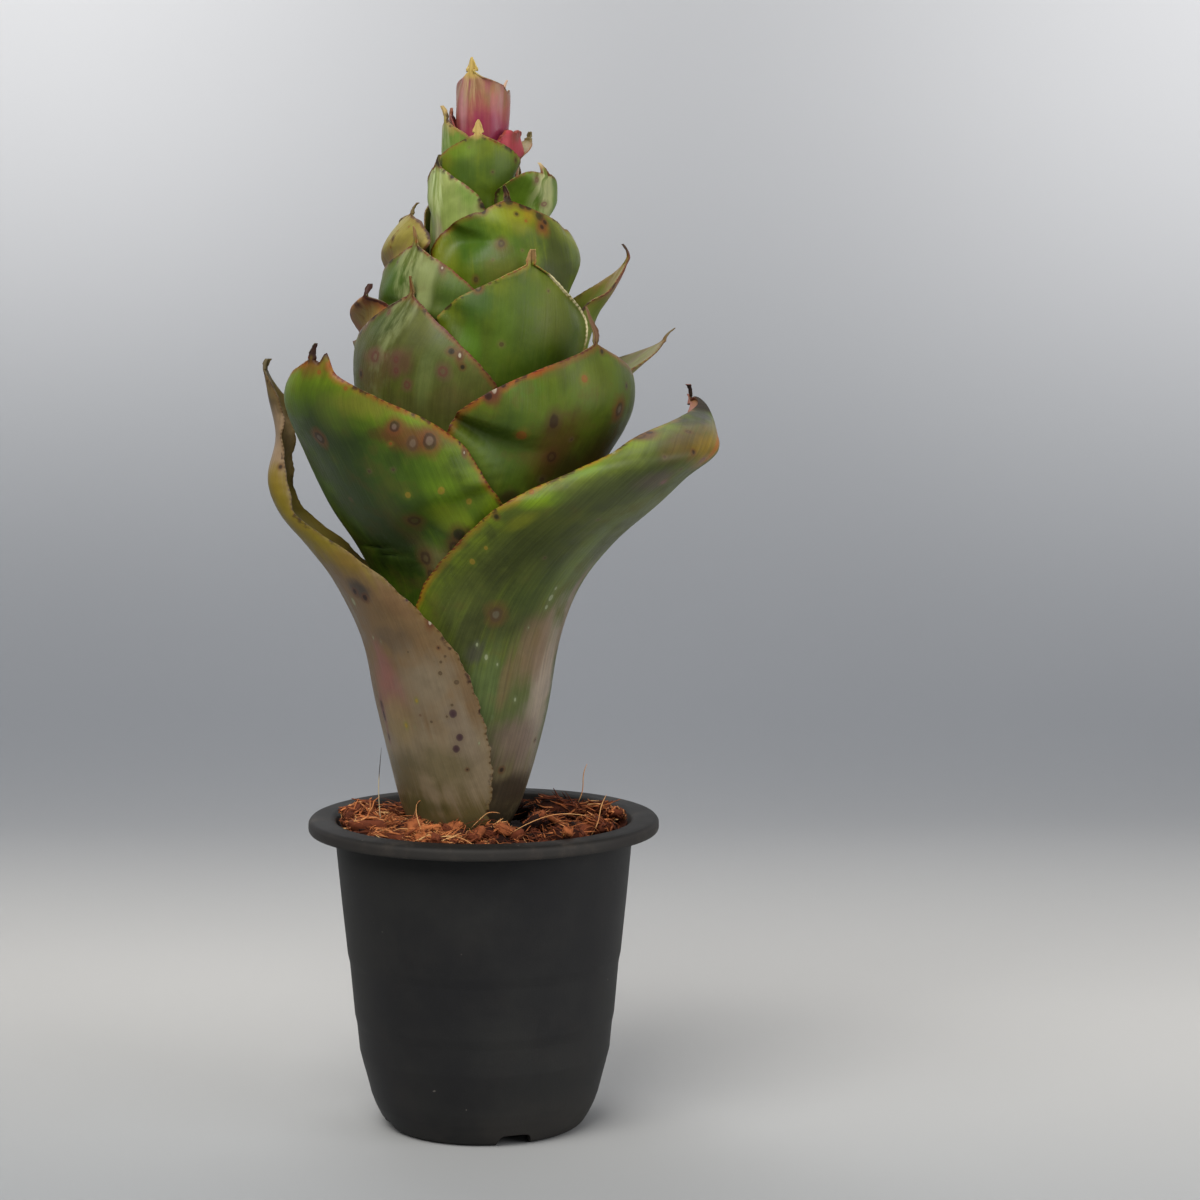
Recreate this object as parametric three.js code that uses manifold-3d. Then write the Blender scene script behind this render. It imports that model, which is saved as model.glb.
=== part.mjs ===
// A neoregelia in a black nursery pot: pot, husk medium, stem and one solid for each leaf.
// Millimetres, +Z up, front towards -Y, origin on the ground at the middle of the pot.

import * as THREE from 'three';
import { mergeVertices } from 'three/addons/utils/BufferGeometryUtils.js';
import Module from 'manifold-3d';

const wasm = await Module();
wasm.setup();

const degree = Math.PI / 180;

// Pot
const rimRadius = 55;
const rimHeight = 98;
const lipDepth = 4.2;
const wall = 1.3;
const footRadius = 29.6;
const footWidth = 2.4;
const floorHeight = 4;
const notchWidth = 10.8;
const notchHeight = 3.8;
const notchTurn = 16.7;
const notchCount = 4;
const drainHoleRadius = 3.5;
const drainHoleReach = 19;
const potSides = 32;

// Outside of the pot wall, as radius and height, with its small moulded steps
const potSide = [
  [31.4, 1.2], [33.2, 4.1], [34.8, 7.3], [36, 10.6], [37.1, 15], [39, 22.2],
  [39.4, 22.6], [40.4, 33.8], [40.9, 34.4], [42.5, 53.2], [43, 53.8], [44.8, 72], [46.3, 88], [46.7, 93],
];

const insideHeights = [93, 53.8, 53.2, 22.6, 22.2, 15, 10.6, 7.3];

// Growing medium
const seatGap = 0.3;
const mediumTop = 92;
const mediumSwell = 2.6;
const mediumRings = 5;
const chipCount = 19;
const fibreCount = 5;

// Wider mouth of the stem's hole, as radius and height
const holeMouth = [[14.6, 86], [15.8, 90], [18.5, 97], [21, 104], [24, 112]];
const holeGap = 0.4;

// Stem, which leans a little to the right
const stemFoot = 58;
const stemTop = 287;
const stemRadiusLow = 11.6;
const stemRadiusHigh = 2.6;
const stemNarrowsFrom = 88;
const stemTaper = 0.8;
const leanStart = 97;
const axisOffset = -6;
const axisLean = 0.03;

// Leaves
const leafThickness = 0.8;
const marginThickness = 0.62;

// Rows and columns of a leaf's points, and how it keeps the leaves inside it:
// gap, reach past its edge, easing
const leafCells = {
  wide: { across: 8, body: 6, apex: 5, spike: 2, gap: 1.9, hold: 5, ease: 0.035 },
  middle: { across: 7, body: 5, apex: 5, spike: 2, gap: 1.8, hold: 4, ease: 0.05 },
  small: { across: 6, body: 4, apex: 4, spike: 2, gap: 1.5, hold: 3, ease: 0.08 },
  rolled: { across: 12, body: 4, apex: 4, spike: 2, gap: 1.4, hold: 3, ease: 0.08 },
};

const freeRows = 4;
const apexPower = 1.1;
const steepest = 1.4;
const facetAllowance = 0.15;
const spikeHalf = 1.1;
const spikePoint = 0.4;

// Colours of the finishes
const colours = {
  pot: '#272829',
  medium: '#8b4a28',
  stem: '#8d8058',
  leaf: '#4f6d26',
  base: '#8f8465',
  dry: '#a5854a',
  pink: '#b0506a',
};

function axisAt(z) {
  return axisOffset + axisLean * (z - leanStart);
}

function stemRadius(z) {
  const t = THREE.MathUtils.clamp((z - stemNarrowsFrom) / (stemTop - stemNarrowsFrom), 0, 1);
  return stemRadiusLow + (stemRadiusHigh - stemRadiusLow) * t ** stemTaper;
}

// Distance from the stem's axis at which a leaf clears the stem
function footReach(z) {
  return stemRadius(z) + seatGap + leafThickness / 2 + facetAllowance;
}

// Smooth curve through rows of numbers, placed by the first number of each row
function blend(rows, x) {
  const last = rows.length - 1;
  let k = 0;
  while (k < last - 1 && x > rows[k + 1][0]) k += 1;
  const before = rows[Math.max(k - 1, 0)];
  const start = rows[k];
  const end = rows[k + 1];
  const after = rows[Math.min(k + 2, last)];
  const span = end[0] - start[0];
  const t = THREE.MathUtils.clamp((x - start[0]) / span, 0, 1);
  return start.map((value, i) => {
    const slopeIn = (end[i] - before[i]) / (end[0] - before[0]);
    const slopeOut = (after[i] - value) / (after[0] - start[0]);
    const rise = end[i] - value;
    const a = slopeIn * span - rise;
    const b = rise - slopeOut * span;
    return value + rise * t + t * (1 - t) * (a * (1 - t) + b * t);
  });
}

// Rows of a leaf that hugs the tower: height, reach of the midrib, radius of the section, half width, turn
function scaleLeaf(name, finish, size, shape) {
  const { foot, top, reach, half, turn, apex } = shape;
  const { curl = 0.8, nod = 0.88, rise = [0.42, 0.82], spike = [5, 1, 0] } = shape;
  const start = footReach(foot);
  const tall = top - foot;
  const [low, high] = turn;
  const mix = (t) => start + (reach - start) * t;
  const rows = [
    [foot, start, start, start * 1.65, low],
    [foot + 0.3 * tall, mix(rise[0]), mix(rise[0]), half * 0.85, low],
    [foot + 0.6 * tall, mix(rise[1]), (mix(rise[1]) * (1 + curl)) / 2, half, low + (high - low) * 0.15],
    [foot + 0.85 * tall, reach, reach * curl, half, low + (high - low) * 0.55],
    [top, reach * nod, reach * nod * curl, half, high],
  ];
  return { name, finish, size, rows, apex, spike };
}

// Rows of a leaf that leaves the tower, each written out, from its foot on the stem
function freeLeaf(name, finish, size, rows, spike, apex = 0) {
  const foot = rows[0][0];
  const start = footReach(foot);
  const first = [foot, start, start, start * 1.65, rows[0][1]];
  return { name, finish, size, rows: [first, ...rows.slice(1)], apex, spike };
}

// Leaves from the ground up, so that each one lies inside those before it
const leaves = [
  freeLeaf('leaf_01_left_clasping', 'base', 'wide', [
    [87, -80],
    [101, 19.2, 19.2, 34, -80],
    [116, 23.6, 23.6, 41, -80],
    [135, 28.6, 28.6, 43, -78],
    [155, 33.4, 32, 41, -80],
    [173, 42.5, 28, 31, -82],
    [184, 51, 19, 22, -86],
    [194, 60, 13, 13, -92],
    [204, 64, 9, 12, -95],
    [217, 62, 8, 8, -97],
    [230, 65, 7, 7, -98],
    [237, 66.5, 6, 2.5, -99],
  ], [4, -1, 0]),
  freeLeaf('leaf_02_front_right', 'leaf', 'wide', [
    [92, 50],
    [104, 17.6, 17.6, 29, 50],
    [130, 24.3, 24.3, 40, 54],
    [155, 28.2, 27.5, 47, 57],
    [172, 35, 30, 51, 58],
    [186, 46.5, 34, 51, 58],
    [198, 61, 36, 51, 58],
    [206, 70, 31, 44, 59],
    [214, 78.5, 23, 36, 62],
    [220, 76.5, 18, 27, 70],
    [225, 72.5, 15, 15, 86],
    [229, 71, 12, 3.5, 106],
  ], [3.5, -2, -3]),
  freeLeaf('leaf_03_front_left', 'leaf', 'wide', [
    [95, -52],
    [110, 17.2, 17.2, 30, -52],
    [130, 23, 23, 38, -52],
    [160, 26.5, 26, 46, -52],
    [172, 29.5, 28, 49, -52],
    [184, 36.5, 31, 51, -52],
    [197, 46, 36, 51.5, -52],
    [214, 56.5, 34, 48.5, -52],
    [230, 66, 25, 52, -52],
    [243, 66.5, 20, 52, -47],
  ], [4.5, 0, 2], 30),
  freeLeaf('leaf_04_back_right', 'leaf', 'wide', [
    [100.5, 160],
    [118, 18.4, 18.4, 30, 160],
    [135, 22, 22, 34, 160],
    [155, 24.5, 24.5, 36, 162],
    [180, 30.5, 29, 38, 164],
    [206, 43, 32, 39, 166],
    [226, 51, 29, 40, 170],
    [238, 53, 24, 40, 174],
  ], [5, 2, 0], 34),
  freeLeaf('leaf_05_back_left', 'leaf', 'wide', [
    [106, -145],
    [122, 18.5, 18.5, 28, -145],
    [138, 20.5, 20.5, 33, -145],
    [160, 22.5, 22.5, 35, -143],
    [185, 27, 26.6, 35, -142],
    [206, 37.5, 28, 35, -140],
    [225, 44.5, 25, 35, -138],
  ], [5, 2, 0], 32),
  scaleLeaf('leaf_06_front_right', 'leaf', 'middle', {
    foot: 111, top: 247, reach: 52, half: 49, turn: [47, 47], apex: 24, curl: 0.73, nod: 0.93,
    rise: [0.3, 0.58], spike: [11, -2, -3],
  }),
  freeLeaf('leaf_07_right', 'leaf', 'middle', [
    [115.5, 112],
    [150, 16.5, 16.5, 20, 112],
    [190, 24.8, 23.5, 20, 112],
    [216, 34, 23, 21, 112],
    [229, 43, 20, 20, 112],
    [238.5, 54, 16, 18, 112],
    [246, 64, 13, 14, 112],
  ], [4, 3.5, 0], 12),
  scaleLeaf('leaf_08_back', 'leaf', 'middle', {
    foot: 121, top: 258, reach: 40, half: 39, turn: [184, 178], apex: 30, rise: [0.38, 0.62],
  }),
  scaleLeaf('leaf_09_front_left', 'leaf', 'middle', {
    foot: 127.5, top: 262, reach: 38.5, half: 43, turn: [-65, -38], apex: 34, curl: 0.9, nod: 0.84,
    rise: [0.4, 0.78],
  }),
  freeLeaf('leaf_10_left_red', 'dry', 'middle', [
    [133, -104],
    [148, 12, 12, 12, -102],
    [170, 16.5, 16.5, 16, -102],
    [215, 27.5, 26, 20, -100],
    [236, 33, 25, 22, -94],
    [246, 37.5, 23, 23, -86],
    [254, 41, 21, 23, -78],
    [261, 36.5, 18, 22, -70],
  ], [3.5, -1.5, 0], 9),
  scaleLeaf('leaf_11_front', 'leaf', 'middle', {
    foot: 139, top: 271, reach: 37, half: 29.5, turn: [18.5, 27], apex: 19, nod: 0.9,
    rise: [0.4, 0.78], spike: [4, 1, 0],
  }),
  freeLeaf('leaf_12_right', 'leaf', 'middle', [
    [148, 106],
    [180, 19, 19, 18, 106],
    [215, 27.5, 25, 19, 106],
    [240, 33.5, 20, 18, 106],
    [254, 38, 16, 16, 106],
    [263, 43.5, 13, 14, 106],
    [272, 48.5, 10, 11, 106],
  ], [4.5, -2, 0], 16),
  scaleLeaf('leaf_13_back_right', 'leaf', 'middle', {
    foot: 153, top: 279, reach: 30, half: 28, turn: [152, 154], apex: 22,
  }),
  scaleLeaf('leaf_14_front_left', 'leaf', 'middle', {
    foot: 161, top: 277, reach: 32, half: 27, turn: [-52, -43], apex: 20, nod: 0.88,
  }),
  freeLeaf('leaf_15_left_yellow', 'dry', 'middle', [
    [169, -100],
    [200, 16, 16, 17, -96],
    [240, 24, 22, 20, -90],
    [262, 28, 20, 21, -86],
    [271, 30.5, 18, 21, -84],
    [278, 28.5, 17, 21, -78],
    [286, 22.5, 15, 21, -66],
  ], [3, -1, 1], 10),
  scaleLeaf('leaf_16_front', 'leaf', 'middle', {
    foot: 178, top: 290, reach: 31, half: 35, turn: [28, 20], apex: 17, curl: 1, nod: 0.73,
    rise: [0.5, 1], spike: [4, 0, -1],
  }),
  scaleLeaf('leaf_17_back', 'leaf', 'middle', {
    foot: 189, top: 298, reach: 20, half: 22, turn: [-164, -166], apex: 18,
  }),
  scaleLeaf('leaf_18_left', 'leaf', 'small', {
    foot: 200, top: 301, reach: 16.4, half: 17, turn: [-52, -58], apex: 14, curl: 0.95, nod: 0.96,
    spike: [2.5, 0, 1],
  }),
  scaleLeaf('leaf_19_right', 'leaf', 'small', {
    foot: 210, top: 299.5, reach: 23.4, half: 14.5, turn: [60, 50], apex: 8, curl: 0.8, nod: 0.98,
    rise: [0.42, 0.7], spike: [2, -1, 0],
  }),
  scaleLeaf('leaf_20_back_right', 'leaf', 'small', {
    foot: 221, top: 309, reach: 14.8, half: 17, turn: [168, 170], apex: 13,
  }),
  scaleLeaf('leaf_21_front', 'leaf', 'small', {
    foot: 231, top: 310, reach: 14.4, half: 16.5, turn: [-2, -6], apex: 10, curl: 0.95, nod: 0.92,
    spike: [4, 0, 0],
  }),
  scaleLeaf('leaf_22_left', 'leaf', 'small', {
    foot: 241, top: 314, reach: 12.2, half: 10, turn: [-62, -68], apex: 6, nod: 1, spike: [4.5, 1, -1],
  }),
  scaleLeaf('leaf_23_right', 'leaf', 'small', {
    foot: 250, top: 309, reach: 12.3, half: 6, turn: [124, 118], apex: 5, curl: 0.95, nod: 1.25,
    spike: [2, 0, -1],
  }),
  scaleLeaf('bract_24_right', 'pink', 'small', {
    foot: 258, top: 313, reach: 11, half: 7.9, turn: [72, 62], apex: 6, nod: 1, spike: [1, 0, 0],
  }),
  scaleLeaf('bract_25_left', 'pink', 'small', {
    foot: 266, top: 317, reach: 10.2, half: 8, turn: [-100, -96], apex: 7, nod: 0.96, spike: [1, 0, 0],
  }),
  scaleLeaf('leaf_26_rolled_top', 'pink', 'rolled', {
    foot: 271, top: 328, reach: 8, half: 22, turn: [-30, -30], apex: 9, curl: 1, nod: 0.96,
    spike: [5, 0, 0],
  }),
  scaleLeaf('leaf_27_inner_roll', 'pink', 'small', {
    foot: 283, top: 323, reach: 6.2, half: 9, turn: [98, 98], apex: 7, curl: 1, nod: 1, spike: [3.5, 1, 0],
  }),
];

function topOf(leaf) {
  return leaf.rows[leaf.rows.length - 1][0];
}

// Horizontal section of a leaf: an arc with its centre, radius, turn and half width
function sectionAt(leaf, z) {
  const [, reach, round, half, turn] = blend(leaf.rows, z);
  let width = half;
  if (leaf.apex > 0) {
    const rise = THREE.MathUtils.clamp((topOf(leaf) - z) / leaf.apex, 0, 1);
    width = half * Math.sin(0.5 * Math.PI * rise ** apexPower);
  }
  const angle = turn * degree;
  const offset = reach - round;
  const climb = (blend(leaf.rows, z + 1)[1] - blend(leaf.rows, z - 1)[1]) / 2;
  const slope = THREE.MathUtils.clamp(climb, -steepest, steepest);
  return {
    steep: Math.hypot(1, slope),
    x: offset * Math.sin(angle),
    y: -offset * Math.cos(angle),
    round,
    angle,
    width: Math.max(width, spikeHalf),
  };
}

// How far from the stem's axis a leaf may reach, so that it stays inside the leaves before it
function roomInside(order, angle, z) {
  const dx = Math.sin(angle);
  const dy = -Math.cos(angle);
  let room = Infinity;
  for (const outer of leaves.slice(0, order)) {
    const top = topOf(outer);
    const { gap, hold, ease } = leafCells[outer.size];
    const s = sectionAt(outer, Math.min(z, top));
    const along = s.x * dx + s.y * dy;
    const inside = s.round ** 2 - s.x ** 2 - s.y ** 2 + along ** 2;
    if (inside <= 0) continue;
    const distance = along + Math.sqrt(inside);
    if (distance <= 0) continue;
    const hit = Math.atan2(distance * dx - s.x, -(distance * dy - s.y));
    const turn = Math.abs(Math.atan2(Math.sin(hit - s.angle), Math.cos(hit - s.angle)));
    const past = Math.max(0, turn * s.round - s.width) + Math.max(0, z - top);
    room = Math.min(room, Math.min(distance, room) - gap * s.steep + ease * Math.max(0, past - hold) ** 2);
  }
  return room;
}

// Point of a leaf's middle surface, with across from -1 to 1
function leafPoint(order, across, z, spikePart) {
  const leaf = leaves[order];
  const s = sectionAt(leaf, z);
  const [, spikeOut, spikeSide] = leaf.spike;
  const width = spikePart > 0 ? spikeHalf + (spikePoint - spikeHalf) * spikePart : s.width;
  const turn = s.angle + (across * width) / s.round;
  let x = s.x + s.round * Math.sin(turn);
  let y = s.y - s.round * Math.cos(turn);
  const bend = spikePart ** 2;
  x += bend * (spikeOut * Math.sin(s.angle) + spikeSide * Math.cos(s.angle));
  y += bend * (spikeSide * Math.sin(s.angle) - spikeOut * Math.cos(s.angle));
  const angle = Math.atan2(x, -y);
  const least = z < stemTop ? footReach(z) : 0;
  const reach = Math.max(Math.min(Math.hypot(x, y), roomInside(order, angle, z)), least);
  return new THREE.Vector3(axisAt(z) + reach * Math.sin(angle), -reach * Math.cos(angle), z);
}

// Heights of a leaf's rows of points, closer together towards its tip
function leafHeights(leaf) {
  const foot = leaf.rows[0][0];
  const top = topOf(leaf);
  const heights = [];
  const { body: bodyRows, apex: apexRows, spike: spikeRows } = leafCells[leaf.size];
  if (leaf.apex > 0) {
    const shoulder = top - leaf.apex;
    for (let k = 0; k < bodyRows; k += 1) heights.push([foot + ((shoulder - foot) * k) / bodyRows, 0]);
    for (let k = 0; k < apexRows; k += 1) heights.push([top - leaf.apex * (1 - k / apexRows) ** 1.5, 0]);
  } else {
    const count = bodyRows + apexRows + freeRows;
    for (let k = 0; k < count; k += 1) heights.push([foot + (top - foot) * (1 - (1 - k / count) ** 1.2), 0]);
  }
  for (let k = 0; k <= spikeRows; k += 1) {
    heights.push([top + (leaf.spike[0] * k) / spikeRows, k / spikeRows]);
  }
  return heights;
}

// Closed solid from a grid of points, thickened to both sides and thinner at its margins
function thickGrid(grid) {
  const rows = grid.length;
  const columns = grid[0].length;
  const positions = [];
  const side = new THREE.Vector3();
  const up = new THREE.Vector3();
  for (const sign of [1, -1]) {
    for (let j = 0; j < rows; j += 1) {
      for (let i = 0; i < columns; i += 1) {
        side.subVectors(grid[j][Math.min(i + 1, columns - 1)], grid[j][Math.max(i - 1, 0)]);
        up.subVectors(grid[Math.min(j + 1, rows - 1)][i], grid[Math.max(j - 1, 0)][i]);
        const across = (2 * i) / (columns - 1) - 1;
        const thick = leafThickness + (marginThickness - leafThickness) * across ** 2;
        const normal = side.clone().cross(up).normalize();
        const point = grid[j][i].clone().addScaledVector(normal, (sign * thick) / 2);
        positions.push(...point.toArray());
      }
    }
  }
  const index = [];
  const back = rows * columns;
  for (let j = 0; j < rows - 1; j += 1) {
    for (let i = 0; i < columns - 1; i += 1) {
      const a = j * columns + i;
      const b = a + 1;
      const c = a + columns;
      const d = c + 1;
      const rising = grid[j][i].distanceTo(grid[j + 1][i + 1]);
      const falling = grid[j][i + 1].distanceTo(grid[j + 1][i]);
      const halves = rising < falling ? [[a, b, d], [a, d, c]] : [[a, b, c], [b, d, c]];
      for (const [p, q, r] of halves) index.push(p, q, r, back + p, back + r, back + q);
    }
  }
  const loop = [];
  for (let i = 0; i < columns - 1; i += 1) loop.push(i);
  for (let j = 0; j < rows - 1; j += 1) loop.push(j * columns + columns - 1);
  for (let i = columns - 1; i > 0; i -= 1) loop.push((rows - 1) * columns + i);
  for (let j = rows - 1; j > 0; j -= 1) loop.push(j * columns);
  loop.forEach((a, k) => {
    const b = loop[(k + 1) % loop.length];
    index.push(a, back + a, back + b, a, back + b, b);
  });
  const geometry = new THREE.BufferGeometry();
  geometry.setAttribute('position', new THREE.Float32BufferAttribute(positions, 3));
  geometry.setIndex(index);
  return geometry;
}

function leafGeometry(order) {
  const grid = leafHeights(leaves[order]).map(([z, spikePart]) => {
    const row = [];
    const cells = leafCells[leaves[order].size].across;
    for (let i = 0; i <= cells; i += 1) row.push(leafPoint(order, (2 * i) / cells - 1, z, spikePart));
    return row;
  });
  return thickGrid(grid);
}

// Solid for joining and cutting, from a closed geometry
function toSolid(geometry) {
  const bare = geometry.clone();
  for (const name of Object.keys(bare.attributes)) {
    if (name !== 'position') bare.deleteAttribute(name);
  }
  const merged = mergeVertices(bare, 1e-4);
  return new wasm.Manifold(new wasm.Mesh({
    numProp: 3,
    vertProperties: new Float32Array(merged.attributes.position.array),
    triVerts: new Uint32Array(merged.index.array),
  }));
}

function toGeometry(solid) {
  const mesh = solid.getMesh();
  const geometry = new THREE.BufferGeometry();
  geometry.setAttribute('position', new THREE.BufferAttribute(new Float32Array(mesh.vertProperties), 3));
  geometry.setIndex(new THREE.BufferAttribute(new Uint32Array(mesh.triVerts), 1));
  return geometry;
}

// Solid of revolution about Z, from pairs of radius and height
function turned(points, sides) {
  const profile = points.map(([r, z]) => new THREE.Vector2(r, z));
  return new THREE.LatheGeometry(profile, sides).rotateX(Math.PI / 2);
}

function potInside(z) {
  return blend(potSide.map(([r, h]) => [h, r]), z)[1] - wall;
}

function potBody() {
  const lip = rimHeight - lipDepth;
  const outside = [
    [0, floorHeight - wall], [footRadius - footWidth, floorHeight - wall], [footRadius - footWidth, 0],
    [footRadius, 0], ...potSide,
    [rimRadius - 8, lip + 1.6], [rimRadius - 1.6, lip + 1.6], [rimRadius - 1.3, lip], [rimRadius - 0.3, lip],
    [rimRadius, lip + 0.8], [rimRadius, rimHeight - 1.4], [rimRadius - 0.8, rimHeight - 0.3],
    [rimRadius - 2.4, rimHeight], [47.9, rimHeight], [46.4, rimHeight - 0.8],
  ];
  const inside = insideHeights.map((z) => [potInside(z), z]);
  return toSolid(turned([...outside, ...inside, [31, floorHeight], [0, floorHeight]], potSides));
}

// Arched cut through the foot ring, along the radius
function notchCut(turn) {
  const shape = new THREE.Shape();
  const half = notchWidth / 2;
  shape.moveTo(-half, -1);
  shape.lineTo(half, -1);
  shape.lineTo(half, notchHeight * 0.35);
  shape.quadraticCurveTo(half * 0.9, notchHeight, half * 0.45, notchHeight);
  shape.lineTo(-half * 0.45, notchHeight);
  shape.quadraticCurveTo(-half * 0.9, notchHeight, -half, notchHeight * 0.35);
  shape.closePath();
  const cut = new THREE.ExtrudeGeometry(shape, { depth: 16, bevelEnabled: false, curveSegments: 4 });
  cut.rotateX(Math.PI / 2).translate(0, -22, 0).rotateZ(turn * degree);
  return toSolid(cut);
}

function potSolid() {
  let solid = potBody();
  for (let k = 0; k < notchCount; k += 1) {
    const turn = notchTurn + (360 / notchCount) * k;
    solid = solid.subtract(notchCut(turn));
    const hole = new THREE.CylinderGeometry(drainHoleRadius, drainHoleRadius, 12, 12).rotateX(Math.PI / 2);
    hole.translate(0, -drainHoleReach, 3).rotateZ(turn * degree);
    solid = solid.subtract(toSolid(hole));
  }
  return solid;
}

// Seeded draw between 0 and 1
function seeded(seed) {
  let state = seed;
  return () => {
    state = (state * 1664525 + 1013904223) % 4294967296;
    return state / 4294967296;
  };
}

// Height of the medium's surface: higher to both sides, with a hollow at the front of the stem
function mediumHeight(x, y) {
  const side = Math.abs(x) / 45;
  const lump = Math.sin(x * 0.21 + 1) * Math.cos(y * 0.27 - 0.6) + 0.6 * Math.sin(x * 0.47 - y * 0.39);
  const hollow = 3.2 * Math.exp(-((x - 11) ** 2 + (y + 30) ** 2) / 130);
  return mediumTop + mediumSwell * side ** 2 + lump - hollow;
}

// Plug that fills the pot, with its uneven top
function mediumPlug() {
  const floor = floorHeight + seatGap;
  const levels = [floor, ...insideHeights.slice(1).reverse()];
  const points = [0, 0, floor];
  const index = [];
  const addRing = (radius, height) => {
    for (let k = 0; k < potSides; k += 1) {
      const turn = (2 * Math.PI * k) / potSides;
      const x = radius * Math.sin(turn);
      const y = -radius * Math.cos(turn);
      points.push(x, y, height(x, y));
    }
  };
  for (const z of levels) addRing((z === floor ? 30 : potInside(z)) - seatGap, () => z);
  const edge = potInside(86) - seatGap;
  for (let k = 0; k < mediumRings; k += 1) addRing(edge * (1 - k / mediumRings), mediumHeight);
  points.push(0, 0, mediumHeight(0, 0));
  const rings = levels.length + mediumRings;
  const tip = 1 + rings * potSides;
  for (let k = 0; k < potSides; k += 1) {
    const next = (k + 1) % potSides;
    index.push(0, 1 + next, 1 + k);
    for (let j = 0; j < rings - 1; j += 1) {
      const a = 1 + j * potSides;
      const b = a + potSides;
      index.push(a + k, a + next, b + next, a + k, b + next, b + k);
    }
    index.push(tip, tip - potSides + k, tip - potSides + next);
  }
  const geometry = new THREE.BufferGeometry();
  geometry.setAttribute('position', new THREE.Float32BufferAttribute(points, 3));
  geometry.setIndex(index);
  return toSolid(geometry);
}

// One husk chip, a tilted block with uneven sides
function chip(draw) {
  const size = [4 + 6 * draw(), 3 + 4 * draw(), 2.5 + 3 * draw()];
  const block = new THREE.BoxGeometry(...size);
  block.rotateX((draw() - 0.5) * 1.4).rotateY((draw() - 0.5) * 1.4).rotateZ(draw() * Math.PI);
  const turn = draw() * 2 * Math.PI;
  const reach = 21 + 16 * Math.sqrt(draw());
  const x = reach * Math.sin(turn);
  const y = -reach * Math.cos(turn);
  return toSolid(block.translate(x, y, mediumHeight(x, y) + size[2] * (draw() * 0.5 - 0.1)));
}

// One coarse fibre that arches out of the surface and back into it
function fibre(draw) {
  const turn = draw() * 2 * Math.PI;
  const reach = 22 + 10 * draw();
  const x = reach * Math.sin(turn);
  const y = -reach * Math.cos(turn);
  const heading = draw() * Math.PI;
  const half = 5 + 4 * draw();
  const arch = 3 + 3 * draw();
  const path = new THREE.QuadraticBezierCurve3(
    new THREE.Vector3(x - half * Math.cos(heading), y - half * Math.sin(heading), mediumTop - 3),
    new THREE.Vector3(x, y, mediumTop + 3 + 2 * arch),
    new THREE.Vector3(x + half * Math.cos(heading), y + half * Math.sin(heading), mediumTop - 3),
  );
  const section = new THREE.Shape([
    new THREE.Vector2(0.6, 0), new THREE.Vector2(-0.3, 0.5), new THREE.Vector2(-0.3, -0.5),
  ]);
  return toSolid(new THREE.ExtrudeGeometry(section, { steps: 5, extrudePath: path, bevelEnabled: false }));
}

// Turns a solid about Z into one about the stem's leaning axis
function onAxis(geometry) {
  return geometry.rotateY(Math.atan(axisLean)).translate(axisOffset - axisLean * leanStart, 0, 0);
}

function stemGeometry() {
  const points = [
    [0, stemFoot], [stemRadiusLow * 0.6, stemFoot], [stemRadiusLow, stemFoot + 14],
    [stemRadiusLow, stemNarrowsFrom],
  ];
  for (let k = 1; k < 6; k += 1) {
    const z = stemNarrowsFrom + ((stemTop - stemNarrowsFrom) * k) / 5;
    points.push([stemRadius(z), z]);
  }
  return onAxis(turned([...points, [0, stemTop + 1]], 18));
}

// Plain hole for the stem, wider at the top for the feet of the lowest leaves
function stemHole() {
  const width = stemRadiusLow + holeGap;
  const points = [
    [0, stemFoot - holeGap], [stemRadiusLow * 0.6 + holeGap, stemFoot - holeGap], [width, stemFoot + 13],
    [width, 85.5], ...holeMouth, [0, 112],
  ];
  return toSolid(onAxis(turned(points, 24)));
}

function mediumSolid() {
  const draw = seeded(11);
  let solid = mediumPlug();
  for (let k = 0; k < chipCount; k += 1) solid = solid.add(chip(draw));
  for (let k = 0; k < fibreCount; k += 1) solid = solid.add(fibre(draw));
  return solid.subtract(stemHole());
}

function finish(name, geometry, colour, roughness) {
  const material = new THREE.MeshStandardMaterial({ color: colour, roughness, metalness: 0 });
  const mesh = new THREE.Mesh(geometry, material);
  mesh.name = name;
  return mesh;
}

const plant = new THREE.Group();
plant.add(finish('pot', toGeometry(potSolid()), colours.pot, 0.6));
plant.add(finish('growing_medium', toGeometry(mediumSolid()), colours.medium, 0.95));
plant.add(finish('stem', stemGeometry(), colours.stem, 0.8));
leaves.forEach((leaf, order) => {
  plant.add(finish(leaf.name, leafGeometry(order), colours[leaf.finish], 0.5));
});

export default plant;
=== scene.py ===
import math

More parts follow.
